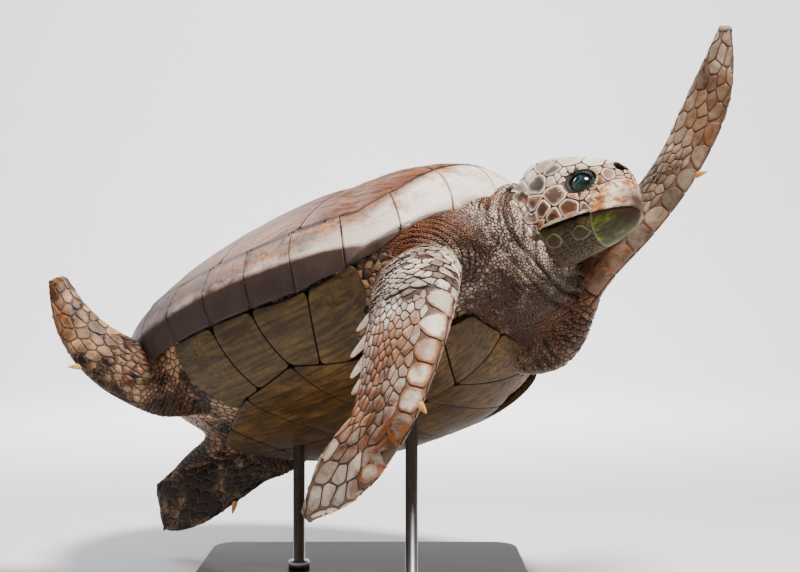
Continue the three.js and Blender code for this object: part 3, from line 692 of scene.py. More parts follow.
def rim_plate(start, end, side, across=26, wraps=34):
    run = np.linspace(start + SEAM_HALF, end - SEAM_HALF, across)
    wrap = np.linspace(-1, 1, wraps)
    run_grid, wrap_grid = np.meshgrid(run, wrap, indexing="ij")
    place = rim_section(run_grid, side, wrap_grid)
    before, after = (rim_section(run_grid + step, side, wrap_grid) for step in (-SLOPE_STEP, SLOPE_STEP))
    inwards, outwards = (rim_section(run_grid, side, np.clip(wrap_grid + step, -1, 1))
                         for step in (-0.03, 0.03))
    normal = np.cross(after - before, outwards - inwards) * side
    normal /= np.linalg.norm(normal, axis=-1, keepdims=True) + 1e-12
    gap = np.minimum(run_grid - run[0], run[-1] - run_grid)
    walk = np.linalg.norm(np.diff(place, axis=1), axis=-1)
    walk = np.concatenate([np.zeros((across, 1)), np.cumsum(walk, axis=1)], axis=1)
    gap = np.minimum(gap, np.minimum(walk, walk[:, -1:] - walk))
    bend = np.clip(1 - gap / ROLL, 0, 1)
    drop = ROLL_DEPTH * (1 - np.sqrt(1 - bend ** 2))
    surface = place - normal * (drop + 0.25 * MM)[..., None]
    inner = place - normal * PLATE * 0.55
    centre = place[:, wraps // 2, :] * np.array([0.93, 0.93, 1.0])
    core = centre[:, None, :] + (inner - centre[:, None, :]) * 0.85
    outer_index = np.arange(across * wraps).reshape(across, wraps)
    inner_index = outer_index + across * wraps
    faces = []
    for i in range(across - 1):
        for j in range(wraps - 1):
            corners = [(i, j), (i + 1, j), (i + 1, j + 1), (i, j + 1)]
            faces.append([outer_index[corner] for corner in corners])
            faces.append([inner_index[corner] for corner in reversed(corners)])
    rim_loop = [(i, 0) for i in range(across)] + [(across - 1, j) for j in range(1, wraps)]
    rim_loop += [(i, wraps - 1) for i in range(across - 2, -1, -1)]
    rim_loop += [(0, j) for j in range(wraps - 2, 0, -1)]
    for k, first in enumerate(rim_loop):
        second = rim_loop[(k + 1) % len(rim_loop)]
        faces.append((outer_index[second], outer_index[first], inner_index[first], inner_index[second]))
    if side < 0:
        faces = [tuple(reversed(f)) for f in faces]
    faces = [tuple(int(i) for i in f) for f in faces]
    points = np.concatenate([surface.reshape(-1, 3), core.reshape(-1, 3)])
    edges = np.concatenate([gap.ravel() / MM, np.full(across * wraps, INSIDE)])
    return points, faces, edges, np.concatenate([wrap_grid.ravel(), wrap_grid.ravel()])


def rim_material():
    """Horn of the rim plates: white over the shoulders as a painted highlight, lilac grey and speckled behind,
    a painted highlight along the keel, darker below the keel as painted shade, and a dark seam band above that
    is partly painted shadow.
    """
    material = horn_material("rim_horn", "5d4642", "a08c86", "1c100c", 0.34, 1.0, 0.8)
    tree = material.node_tree
    shader = tree.nodes["Principled BSDF"]
    wrap = attribute(tree, "wrap")
    edge = attribute(tree, "edge")
    body = attribute(tree, "body", "Vector")
    worn = shader.inputs["Base Color"].links[0].from_socket
    flaw = clouds(tree, body, 20.0, 7.0, 0.7)
    ahead = add_node(tree, "ShaderNodeSeparateXYZ", {"Vector": body})
    # Painted highlight: the upper faces of the front rim turn white, broken by stains and kept off the plate
    # edges.
    front = ranged(tree, ahead.outputs[0], 0.1, 0.34, 0.0, 0.95)
    off_edge = ranged(tree, edge, 0.3, 1.0)
    stains = ranged(tree, flaw, 0.47, 0.6, 1.0, 0.35)
    highlight_share = maths(tree, "MULTIPLY", stains, off_edge)
    outwards = maths(tree, "MULTIPLY_ADD", ahead.outputs[0], 1.6, wrap)
    outer = ranged(tree, outwards, -0.42, -0.12, 0.06)
    front_highlight = maths(tree, "MULTIPLY", front, highlight_share)
    painted_highlight = maths(tree, "MULTIPLY", front_highlight, outer)
    speck = clouds(tree, body, 75.0, 5.0, 0.75)
    nearby = ranged(tree, ahead.outputs[0], -0.25, 0.05)
    rusty = ranged(tree, flaw, 0.36, 0.56, 0.0, 0.85)
    rust_at = maths(tree, "MULTIPLY", nearby, rusty)
    rusted = mixed(tree, rust_at, worn, "b07440")
    dots = ranged(tree, speck, 0.5, 0.58, 0.0, 0.8)
    dots_at = maths(tree, "MULTIPLY", dots, nearby)
    dotted = mixed(tree, dots_at, rusted, "2c1810")
    front_highlighted = mixed(tree, painted_highlight, dotted, "ecdfd2")
    # Painted shade: the rim's underside below the keel is darkened, less so towards the front.
    behind = ranged(tree, ahead.outputs[0], 0.22, 0.36, 1.0, 0.35)
    turned = ranged(tree, wrap, 0.03, 0.2)
    under = maths(tree, "MULTIPLY", turned, behind)
    painted_under_shade = mixed(tree, flaw, "1c1210", "4c3a34")
    below = mixed(tree, under, front_highlighted, painted_under_shade)
    # Painted highlight: a pale band along the keel, broken by noise and stronger towards the front.
    keel_in = ranged(tree, wrap, -0.45, -0.04)
    keel_out = ranged(tree, wrap, 0.0, 0.16, 1.0, 0.0)
    keel = maths(tree, "MULTIPLY", keel_in, keel_out)
    keel_highlight_noise = ranged(tree, flaw, 0.35, 0.62, 0.0, 0.7)
    nearer = ranged(tree, ahead.outputs[0], -0.35, 0.2, 0.45, 1.25)
    keel_highlight_strength = maths(tree, "MULTIPLY", keel_highlight_noise, nearer)
    soft = maths(tree, "MULTIPLY", keel, keel_highlight_strength, clamp=True)
    keel_highlighted = mixed(tree, soft, below, "e4dad6")
    # A dark band along the inner edge above: the seam between back and rim, widened by painted shadow where the
    # back's plates rise from it.
    seam = ranged(tree, wrap, -0.975, -0.935, 0.95, 0.0)
    seamed = mixed(tree, seam, keel_highlighted, "1a0d08")
    tree.links.new(seamed, shader.inputs["Base Color"])
    return material


RIM_HORN = rim_material()
for side, word in ((1, "left"), (-1, "right")):
    step = (OUTLINE_RUN[-1] - NUCHAL_RUN) / RIM_PLATES
    tiles = [rim_plate(NUCHAL_RUN + k * step, NUCHAL_RUN + (k + 1) * step, side) for k in range(RIM_PLATES)]
    shapes = [tile[:3] for tile in tiles]
    piece = finish_plate(f"rim_plates_{word}", shapes, RIM_HORN, "rim", f"marginals_{word}")
    give_floats(piece, "wrap", np.concatenate([tile[3] for tile in tiles]))
tiles = [rim_plate(-NUCHAL_RUN, NUCHAL_RUN, 1)]
piece = finish_plate("neck_plate", [tiles[0][:3]], RIM_HORN, "rim", "nuchal")
give_floats(piece, "wrap", tiles[0][3])

# ------------------------------------------------------------------------------------------------
# The skin: one closed hide over head, neck, limbs, tail and the flesh inside the shell. It is drawn
# from the same stations as the solids, fused, eased where a limb meets the body, then drawn in by
# the depth of the scales, and folded at the neck and shoulders, as soft hide is where it bends.
# ------------------------------------------------------------------------------------------------
VOXEL = 2.3 * MM
SCALE_DEPTH = 0.9 * MM
TRUNK_INSET = PLATE + 0.007
HEAD_PROFILE = [
    [0.446, 0.128, -0.010, 0.040], [0.457, 0.158, -0.036, 0.062], [0.482, 0.176, -0.052, 0.075],
    [0.518, 0.172, -0.050, 0.079], [0.558, 0.158, -0.048, 0.075], [0.593, 0.141, -0.047, 0.067],
    [0.623, 0.124, -0.043, 0.056], [0.647, 0.106, -0.034, 0.044], [0.664, 0.084, -0.019, 0.030],
    [0.673, 0.058, 0.004, 0.014]]
HEAD_SQUARE, HEAD_MIDDLE = 0.88, 0.47
# Each joint: where its middle is, which way its leading edge points, and how far the leading edge, the
# trailing edge and the flat of the limb lie from the middle.
JOINTS = {
    "front_right": {
        "root": ((0.24, -0.10, -0.05), (0.9, 0.3, 0.3), (0.04, 0.04, 0.03)),
        "shoulder": ((0.33, -0.27, -0.11), (0.94, 0.18, -0.1), (0.08, 0.08, 0.06)),
        "elbow": ((0.36, -0.37, -0.25), (0.96, 0.12, -0.25), (0.08, 0.08, 0.04)),
        "forearm": ((0.355, -0.42, -0.36), (0.99, 0.08, -0.14), (0.073, 0.073, 0.029)),
        "wrist": ((0.33, -0.455, -0.45), (0.97, 0.16, -0.15), (0.06, 0.06, 0.02)),
        "blade": ((0.26, -0.47, -0.51), (0.9, 0.2, -0.38), (0.052, 0.052, 0.014)),
        "tip": ((0.175, -0.465, -0.555), (0.8, 0.3, -0.5), (0.014, 0.014, 0.008)),
    },
    "front_left": {
        "root": ((0.22, 0.11, -0.07), (0.6, -0.2, -0.7), (0.06, 0.04, 0.04)),
        "shoulder": ((0.35, 0.145, -0.09), (0.38, 0.0, -0.92), (0.09, 0.08, 0.066)),
        "elbow": ((0.48, 0.14, -0.02), (0.28, 0.08, -0.96), (0.043, 0.06, 0.04)),
        "forearm": ((0.60, 0.145, 0.055), (0.4, 0.08, -0.9), (0.05, 0.052, 0.028)),
        "wrist": ((0.71, 0.145, 0.13), (0.78, 0.1, -0.61), (0.05, 0.05, 0.02)),
        "blade": ((0.82, 0.13, 0.24), (0.92, 0.12, -0.36), (0.048, 0.048, 0.013)),
        "tip": ((0.90, 0.105, 0.36), (0.91, 0.1, -0.38), (0.018, 0.016, 0.008)),
    },
    "hind_right": {
        "root": ((-0.23, -0.12, -0.07), (0.2, 0.2, 0.9), (0.03, 0.03, 0.03)),
        "hip": ((-0.31, -0.23, -0.075), (0.18, 0.25, 0.93), (0.07, 0.07, 0.058)),
        "knee": ((-0.345, -0.325, -0.06), (0.17, 0.26, 0.95), (0.07, 0.07, 0.04)),
        "ankle": ((-0.39, -0.39, -0.005), (0.18, 0.28, 0.94), (0.06, 0.058, 0.027)),
        "blade": ((-0.415, -0.435, 0.06), (0.28, 0.28, 0.92), (0.047, 0.041, 0.017)),
        "tip": ((-0.425, -0.47, 0.15), (0.34, 0.21, 0.92), (0.023, 0.02, 0.008)),
    },
    "hind_left": {
        "root": ((-0.23, 0.13, -0.07), (-0.5, -0.1, 0.8), (0.03, 0.03, 0.03)),
        "hip": ((-0.33, 0.13, -0.10), (-0.53, -0.14, 0.81), (0.072, 0.072, 0.05)),
        "knee": ((-0.42, 0.09, -0.115), (-0.48, -0.2, 0.85), (0.08, 0.08, 0.032)),
        "ankle": ((-0.51, 0.075, -0.14), (-0.35, -0.25, 0.9), (0.083, 0.083, 0.022)),
        "blade": ((-0.60, 0.06, -0.165), (-0.34, -0.24, 0.91), (0.081, 0.081, 0.014)),
        "tip": ((-0.685, 0.05, -0.17), (-0.34, -0.16, 0.93), (0.061, 0.061, 0.008)),
    },
    "neck": {
        "root": ((0.20, 0.0, -0.05), (0, 1, 0), (0.15, 0.15, 0.08)),
        "yoke": ((0.27, 0.0, -0.035), (0, 1, 0), (0.28, 0.28, 0.12)),
        "base": ((0.34, 0.0, -0.005), (0, 1, 0), (0.265, 0.265, 0.155)),
        "middle": ((0.40, 0.0, 0.03), (0, 1, 0), (0.195, 0.195, 0.155)),
        "nape": ((0.45, 0.0, 0.05), (0, 1, 0), (0.12, 0.12, 0.14)),
        "skull": ((0.50, 0.0, 0.06), (0, 1, 0), (0.04, 0.04, 0.06)),
    },
    "tail": {
        "root": ((-0.36, 0.0, -0.10), (0, 1, 0), (0.04, 0.04, 0.035)),
        "base": ((-0.43, 0.0, -0.11), (0, 1, 0), (0.045, 0.045, 0.035)),
        "middle": ((-0.50, 0.0, -0.115), (0, 1, 0), (0.028, 0.028, 0.024)),
        "end": ((-0.555, 0.0, -0.125), (0, 1, 0), (0.017, 0.017, 0.015)),
        "tip": ((-0.59, 0.0, -0.14), (0, 1, 0), (0.008, 0.008, 0.007)),
    },
}
STATION = ("path", "chord", "section")
LIMBS = {name: dict(zip(STATION, zip(*joints.values()))) for name, joints in JOINTS.items()}
PARTS = ["head", "trunk", "neck", "front_right", "front_left", "hind_right", "hind_left", "tail"]
HEAD, TRUNK, NECK, FRONT_RIGHT, FRONT_LEFT, HIND_RIGHT, HIND_LEFT, TAIL = range(8)


def station_curve(listed, t):
    """The smooth curve through a list of stations, read at t from 0 to 1."""
    points = np.array(listed, float)
    t = np.asarray(t, float)
    last = len(points) - 1
    padded = np.vstack([2 * points[0] - points[1], points, 2 * points[-1] - points[-2]])
    place = last * np.clip(t, 0, 1)
    index = np.minimum(np.floor(place).astype(int), last - 1)
    w = (place - index)[..., None]
    before, start, end, after = (padded[index + k] for k in range(4))
    lead, trail = (end - before) / 2, (after - start) / 2
    square = 3 * (end - start) - 2 * lead - trail
    cube = 2 * (start - end) + lead + trail
    return start + lead * w + square * w ** 2 + cube * w ** 3


def unit(vectors):
    return vectors / (np.linalg.norm(vectors, axis=-1, keepdims=True) + 1e-12)


def limb_surface(spec, along, turn):
    """Points of a limb's surface and the direction it runs in there."""
    middle = station_curve(spec["path"], along)
    after = station_curve(spec["path"], np.minimum(1, along + 1e-3))
    run = unit(after - station_curve(spec["path"], np.maximum(0, along - 1e-3)))
    across = station_curve(spec["chord"], along)
    across = unit(across - run * np.sum(across * run, -1, keepdims=True))
    up = np.cross(run, across)
    section = station_curve(spec["section"], along)
    c = np.cos(turn)
    reach = np.where(c > 0, section[..., 0], section[..., 1]) * c
    lift = section[..., 2] * (0.75 + 0.25 * (c + 1) / 2) * np.sin(turn)
    return middle + across * reach[..., None] + up * lift[..., None], run


def rounded(value):
    return np.sign(value) * np.abs(value) ** HEAD_SQUARE


def head_surface(along, turn):
    profile = station_curve(HEAD_PROFILE, along)
    x, top, low, half = (profile[..., k] for k in range(4))
    middle = low + (top - low) * HEAD_MIDDLE
    lift = np.where(np.sin(turn) > 0, top - middle, middle - low)
    tip = (along <= 0) | (along >= 1)
    y = np.where(tip, 0, half * rounded(np.cos(turn)))
    place = np.stack([x, y, middle + np.where(tip, 0, lift * rounded(np.sin(turn)))], -1)
    return place, np.broadcast_to(np.array([1.0, 0.0, 0.0]), place.shape)


def trunk_surface(along, turn):
    """The flesh inside the shell: the shell's own form, drawn in under the plates."""
    shape = np.broadcast(along, turn).shape
    along, turn = np.broadcast_to(along, shape), np.broadcast_to(turn, shape)
    x, y, span = rim_point(turn, TRUNK_INSET)
    upper = along <= 0.5
    rho = np.sin(np.where(upper, along, 1 - along) * math.pi)
    x, y = x * rho, y * rho
    middle = look_up(RIM, span) * rho ** 2
    top = middle + crown_height(x, rho, span)
    low = look_up(RIM, span) * rho ** BELLY_RIM - belly_drop(x, rho)
    squeeze = 1 - TRUNK_INSET / np.where(upper, DOME_HEIGHT, BELLY_DEPTH)
    place = np.stack([x, y, middle + (np.where(upper, top, low) - middle) * squeeze], -1)
    return place, np.broadcast_to(np.array([1.0, 0.0, 0.0]), place.shape)


def part_surface(index, along, turn):
    if index == HEAD:
        return head_surface(along, turn)
    if index == TRUNK:
        return trunk_surface(along, turn)
    return limb_surface(LIMBS[PARTS[index]], along, turn)


def tube(index, around, rows):
    """A closed mesh of one part, with rows closer together at its two ends."""
    share = np.linspace(0, 1, rows + 1)[1:-1]
    if index > TRUNK:
        share = (1 - np.cos(math.pi * share)) / 2
    turn = np.linspace(0, 2 * math.pi, around, endpoint=False)
    place, _ = part_surface(index, share[:, None] * np.ones(around), turn[None, :] * np.ones((rows - 1, 1)))
    ends, _ = part_surface(index, np.array([0.0, 1.0]), np.array([0.0, 0.0]))
    points = np.concatenate([place.reshape(-1, 3), ends])
    faces = ring_faces(rows - 1, around)
    last = (rows - 2) * around
    for i in range(around):
        j = (i + 1) % around
        faces.append((j, i, len(points) - 2))
        faces.append((last + i, last + j, len(points) - 1))
    return points, faces


def modified(piece, kind, **settings):
    """The mesh of a piece as a modifier leaves it; the piece itself goes."""
    tool = piece.modifiers.new("tool", kind)
    for key, value in settings.items():
        setattr(tool, key, value)
    bpy.context.view_layer.update()
    changed = piece.evaluated_get(bpy.context.evaluated_depsgraph_get())
    mesh = bpy.data.meshes.new_from_object(changed)
    bpy.data.objects.remove(piece)
    return mesh


def in_scene(name, mesh):
    made = bpy.data.objects.new(name, mesh)
    bpy.context.scene.collection.objects.link(made)
    return made


def cut_edges(shape, edges):
    bmesh.ops.subdivide_edges(shape, edges=edges, cuts=1, use_grid_fill=True)


def written(shape, mesh):
    """Puts an edited shape back in its mesh, with no face of more than four corners."""
    bmesh.ops.triangulate(shape, faces=[f for f in shape.faces if len(f.verts) > 4])
    shape.to_mesh(mesh)
    shape.free()


def rough_skin():
    """Every part fused into one even mesh, finer over the head."""
    sizes = {HEAD: (96, 96), TRUNK: (96, 60), NECK: (96, 60), TAIL: (32, 32)}
    parts = [tube(k, *sizes.get(k, (72, 110))) for k in range(len(PARTS))]
    points, faces, _ = joined([(p, f, np.zeros(len(p))) for p, f in parts])
    fused = modified(mesh_object("skin", points, faces), "REMESH", mode="VOXEL", voxel_size=VOXEL)
    shape = bmesh.new()
    shape.from_mesh(fused)
    for limit in (0.50, 0.548):
        low = -0.035 if limit > 0.52 else -0.06
        near = [e for e in shape.edges if all(limit < v.co.x < 0.69 and abs(v.co.y) < 0.085 and
                                              low < v.co.z < 0.2 for v in e.verts)]
        cut_edges(shape, near)
    written(shape, fused)
    return fused


def refined(mesh, chosen):
    """The mesh with every edge cut in two where chosen says so."""
    shape = bmesh.new()
    shape.from_mesh(mesh)
    cut_edges(shape, [e for e in shape.edges if all(chosen[v.index] for v in e.verts)])
    written(shape, mesh)


def eased(points, links, weight, rounds):
    """Moves each point towards the middle of its neighbours."""
    count = np.bincount(links.ravel(), minlength=len(points))[:, None]
    for _ in range(rounds):
        total = np.zeros_like(points)
        np.add.at(total, links[:, 0], points[links[:, 1]])
        np.add.at(total, links[:, 1], points[links[:, 0]])
        points = points + (total / count - points) * weight[:, None]
    return points


def point_tree(points, numbers=None):
    """A search tree over points, each under its number."""
    tree = kdtree.KDTree(len(points))
    for i, point in enumerate(points):
        tree.insert(point, i if numbers is None else int(numbers[i]))
    tree.balance()
    return tree


class Lookup:
    """Where on which part a point of the skin lies: its part, place along, turn around and run."""

    def __init__(self):
        steps = np.linspace(0.0, 1.0, 140), np.linspace(0, 2 * math.pi, 72, endpoint=False)
        along, turn = np.meshgrid(*steps, indexing="ij")
        surfaces = [part_surface(index, along, turn) for index in range(len(PARTS))]
        self.place = np.concatenate([place.reshape(-1, 3) for place, _ in surfaces])
        self.run = np.concatenate([run.reshape(-1, 3) for _, run in surfaces])
        self.owner = np.repeat(np.arange(len(PARTS)), along.size)
        self.along = np.tile(along.ravel(), len(PARTS))
        self.turn = np.tile(turn.ravel(), len(PARTS))
        self.single = point_tree(self.place)
        owned = [np.nonzero(self.owner == index)[0] for index in range(len(PARTS))]
        self.trees = [point_tree(self.place[own], own) for own in owned]

    def read(self, points):
        """For each point: the nearest sample, and how far off the next part is."""
        found = np.zeros(len(points), int)
        second = np.zeros(len(points))
        for i, point in enumerate(points):
            hits = sorted((tree.find(point) for tree in self.trees), key=lambda hit: hit[2])
            found[i] = hits[0][1]
            second[i] = hits[1][2]
        return found, second


FOLD_DEPTH = 2.4 * MM
FOLD_STEP = 5.6 * MM
RING_AT, RING_WIDTH, RING_DEPTH = (0.452, 0.428), 2.2 * MM, 3.6 * MM
EYE_AT = (0.586, 0.0385, 0.060)
EYE_RADIUS = 0.0275
EYE_AXIS = (0.16, 0.97, 0.12)
LID_REACH = (0.0345, 0.0275)
OPENING = (0.0215, 0.0170)
NOSTRIL_AT = (0.659, 0.0215, 0.079)
NOSTRIL_RADIUS = 0.0115
JAW_CORNER, JAW_HEIGHT, JAW_SLOPE = 0.493, -0.002, -0.05


def swell(value, middle, width):
    """A soft rise that is 1 at the middle."""
    return np.exp(-((value - middle) / width) ** 2)


def mouth_line(points):
    """How far above the line between the jaws each point lies."""
    return points[:, 2] - (JAW_HEIGHT + JAW_SLOPE * (points[:, 0] - JAW_CORNER))


def eye_frame(side):
    axis = Vector((EYE_AXIS[0], EYE_AXIS[1] * side, EYE_AXIS[2])).normalized()
    ahead = Vector((1, 0, 0))
    ahead = (ahead - axis * ahead.dot(axis)).normalized()
    up = axis.cross(ahead) * side * -1
    if up.z < 0:
        up = -up
    return np.array([EYE_AT[0], EYE_AT[1] * side, EYE_AT[2]]), np.array(axis), np.array(ahead), np.array(up)


def folded(points, normals, place):
    """Ring folds round the neck and shoulders, and finer wrinkles between them."""
    part, along = place["part"], place["along"]
    limb = (part >= FRONT_RIGHT) & (part <= HIND_LEFT)
    walk = np.where(limb, along * np.where(part <= FRONT_LEFT, 0.95, 0.62), points[:, 0])
    mask = np.where(limb, 1 - smooth_step(0.26, 0.42, along), 0.0)
    mask = np.where(part == NECK, 1.0, mask)
    mask = np.where(part == HEAD, 0.8 * (1 - smooth_step(0.445, 0.475, points[:, 0])), mask)
    mask = np.where(part == TAIL, 0.5, mask)
    throat = (part == HEAD) * smooth_step(0.02, 0.035, -mouth_line(points)) * 0.45
    mask = np.maximum(mask, throat)
    for joints in (JOINTS["front_right"], JOINTS["front_left"]):
        away = np.linalg.norm(points - np.array(joints["shoulder"][0]), axis=1)
        near = (1 - smooth_step(0.13, 0.21, away)) * ((part == NECK) | (part == TRUNK))
        walk = walk + (away - walk) * near
        mask = np.maximum(mask, near)
    warp = np.array([noise.noise(Vector(p) * 9.0) for p in points])
    phase = (walk / FOLD_STEP + 1.5 * warp) * math.pi
    crease = np.abs(np.sin(phase)) ** 0.5 - 1
    loose = np.array([noise.noise(Vector(p) * 26.0 + Vector((3, 7, 1))) for p in points])
    depth = FOLD_DEPTH * (0.7 + 0.8 * loose)
    ring = np.zeros(len(points))
    for at in RING_AT:
        line = at + 0.10 * np.maximum(0, 0.05 - points[:, 2]) + 0.010 * warp
        strength = 1.0 if at == RING_AT[0] else 0.6
        ring = np.maximum(ring, swell(points[:, 0], line, RING_WIDTH) * strength)
    ring *= (part == NECK) | (part == HEAD)
    moved = mask * (crease * depth + loose * 0.9 * MM) - ring * RING_DEPTH
    return points + normals * moved[:, None], np.maximum(mask * np.clip(-crease, 0, 1), ring)


def with_mouth(points, normals, place):
    """The closed mouth: a groove whose upper lip stands a little over the lower jaw."""
    head = place["part"] == HEAD
    above = mouth_line(points)
    ahead = smooth_step(JAW_CORNER - 0.012, JAW_CORNER + 0.006, points[:, 0])
    groove = swell(above, 0.0, 1.2 * MM) * 3.0 * MM
    lip = swell(above, 2.6 * MM, 2.2 * MM) * 0.7 * MM
    chin = swell(above, -3.0 * MM, 3.0 * MM) * 0.8 * MM
    moved = points + normals * (head * ahead * (lip - groove - chin))[:, None]
    return moved, head * ahead * swell(above, 0.0, 1.9 * MM)


def with_eyes_and_nose(points):
    """The sockets under the lids and the two nostrils; also tells where a nostril is hollow."""
    points = points.copy()
    hollow = np.zeros(len(points))
    for side in (1, -1):
        centre, axis, ahead, up = eye_frame(side)
        away = points - centre
        out = away @ axis
        ring = np.hypot(away @ ahead / LID_REACH[0], away @ up / LID_REACH[1])
        front = (out > 0.0) & (ring < 1.5)
        sink = 0.0045 * (1 - smooth_step(0.82, 1.22, ring)) + 0.5 * out * (1 - smooth_step(0.55, 0.72, ring))
        points -= axis * np.where(front, sink, 0.0)[:, None]
        hole = np.array([NOSTRIL_AT[0], NOSTRIL_AT[1] * side, NOSTRIL_AT[2]])
        inward = np.array(Vector((-0.40, -0.78 * side, -0.48)).normalized())
        away = points - hole
        across = np.linalg.norm(away - np.outer(away @ inward, inward), axis=1) / NOSTRIL_RADIUS
        close = np.linalg.norm(away, axis=1) < 0.035
        dent = 0.013 * (1 - smooth_step(0.5, 0.95, across)) - 0.0034 * swell(across, 1.25, 0.32)
        points += inward * np.where(close, dent, 0.0)[:, None]
        hollow = np.maximum(hollow, np.where(close, 1 - smooth_step(0.8, 1.1, across), 0.0))
    return points, hollow


LOOKUP = Lookup()
hide = rough_skin()
points = values_of(hide.vertices, "co", 3)
links = values_of(hide.edges, "vertices", 2, int)
found, second = LOOKUP.read(points)
place = {"part": LOOKUP.owner[found], "along": LOOKUP.along[found]}
thick = np.where((place["part"] >= FRONT_RIGHT) & (place["along"] > 0.45), 0.0, 1.0)
joint = (1 - smooth_step(0.02, 0.06, second)) * thick
joint *= np.where(place["part"] == HEAD, 0.6 * (1 - smooth_step(0.45, 0.50, points[:, 0])), 1.0)
points = eased(points, links, np.full(len(points), 0.5), 4)
points = eased(points, links, 0.5 * joint, 45)
hide.vertices.foreach_set("co", points.ravel())
hide.update()
loose = (place["part"] == NECK) | ((place["part"] == HEAD) & (points[:, 0] < 0.50))
limb = (place["part"] >= FRONT_RIGHT) & (place["part"] <= HIND_LEFT)
loose |= limb & (place["along"] < 0.42) & (place["along"] > 0.10)
refined(hide, loose)
points = values_of(hide.vertices, "co", 3)
sample = np.array([LOOKUP.single.find(p)[1] for p in points])
place = {"part": LOOKUP.owner[sample], "along": LOOKUP.along[sample], "turn": LOOKUP.turn[sample]}
normals = values_of(hide.vertices, "normal", 3)
points = points - normals * SCALE_DEPTH
points, CREASE = folded(points, normals, place)
points, GROOVE = with_mouth(points, normals, place)
points, HOLLOW = with_eyes_and_nose(points)
hide.vertices.foreach_set("co", points.ravel())
hide.update()

# ------------------------------------------------------------------------------------------------
# The scales: thousands of low horny plates that lie edge to edge on the hide, each a closed solid
# with a bevelled rim. They are large on the head and down the leading edges, long and narrow over
# the blades, and as small as grains where the hide folds at the throat, neck and shoulders.
# ------------------------------------------------------------------------------------------------
# Head shields of one side in rows: place from nape to snout, angle up from the side, size in mm, dark centre.
SHIELDS = {
    "brow": [(0.20, 55, 18.0, 0.5), (0.35, 40, 15.0, 0.4), (0.50, 50, 19.0, 0.2), (0.65, 50, 17.0, 0.1)],
    "temple": [(0.15, 25, 14.0, 0.8), (0.30, 15, 17.0, 1.0), (0.40, 30, 13.0, 0.9), (0.75, 20, 11.0, 0.7)],
    "cheek": [(0.10, 5, 11.0, 0.9), (0.25, 0, 11.5, 0.9), (0.40, 0, 16.0, 0.9), (0.65, -5, 12.0, 0.9),
              (0.80, 0, 11.0, 0.4)],
    "jowl": [(0.10, -20, 9.0, 0.7), (0.20, -15, 12.5, 1.0), (0.30, -10, 11.0, 1.0), (0.45, -20, 15.0, 0.8),
             (0.60, -15, 12.0, 0.7)],
    "lip": [(0.20, -35, 9.0, 0.6), (0.35, -25, 13.0, 1.0), (0.55, -25, 11.0, 0.5)],
    "jaw": [(0.30, -50, 10.5, 0.3), (0.45, -55, 11.0, 0.3)],
}
JAW_STRETCH = 1.4
CROWN_SHIELDS = [(0.75, 90, 9.0, 0.1), (0.60, 90, 11.0, 0.1), (0.45, 90, 20.0, 0.2), (0.25, 90, 17.0, 0.3),
                 (0.10, 90, 14.0, 0.3)]
# The large scales down a leading edge: the first and last place along the limb, and the step between them.
EDGE_SCALES = {FRONT_RIGHT: (0.32, 0.78, 0.076), FRONT_LEFT: (0.34, 0.80, 0.070),
               HIND_RIGHT: (0.52, 0.86, 0.085), HIND_LEFT: (0.50, 0.88, 0.085)}
SCALE_VALUES = ("edge", "share", "tone", "spot", "pale", "stain")
GAP_SMALL, GAP_LARGE = 0.42 * MM, 0.5 * MM


def within(value):
    return max(0.0, min(1.0, value))


def from_shoulder(where, arm):
    return (where - Vector(JOINTS[arm]["shoulder"][0])).length


def scale_size(part, along, turn, x, y, z):
    """The size of the scales at a place, in mm, and how much longer than wide they are."""
    if part == HEAD:
        if math.sin(turn) < -0.75 or x < 0.46:
            return 3.4, 1.0
        return (4.4 if z < mouth_height(x) else 7.0), 1.0
    if part == NECK:
        chest = within((abs(y) - 0.10) / 0.10) * within((0.05 - z) / 0.10)
        by_arm = min(from_shoulder(Vector((x, y, z)), arm) for arm in ("front_right", "front_left"))
        fine = within((0.20 - by_arm) / 0.04) * within((z + 0.10) / 0.05)
        return 4.8 + 2.0 * chest - (1.2 + 1.6 * chest) * fine, 0.55 + 0.45 * chest * (1 - fine)
    if part == TRUNK:
        return 7.0, 1.2
    if part == TAIL:
        return 5.5, 1.2
    if part <= FRONT_LEFT:
        if along < 0.15:
            return 4.0, 0.6
        lead = max(0.0, math.cos(turn))
        if along < 0.30:
            cap = max(0.0, math.cos(turn - 0.6))
            return 5.5 + 12.0 * cap * min(1.0, (along - 0.15) / 0.06), 0.55
        if along > 0.72:
            return 9.5, 1.8
        return 5.4 + 4.5 * lead, 1.9
    if along < 0.36:
        return 5.6, 0.7
    return (10.0 if along > 0.66 else 6.0 + 9.0 * (along - 0.36)), 1.6


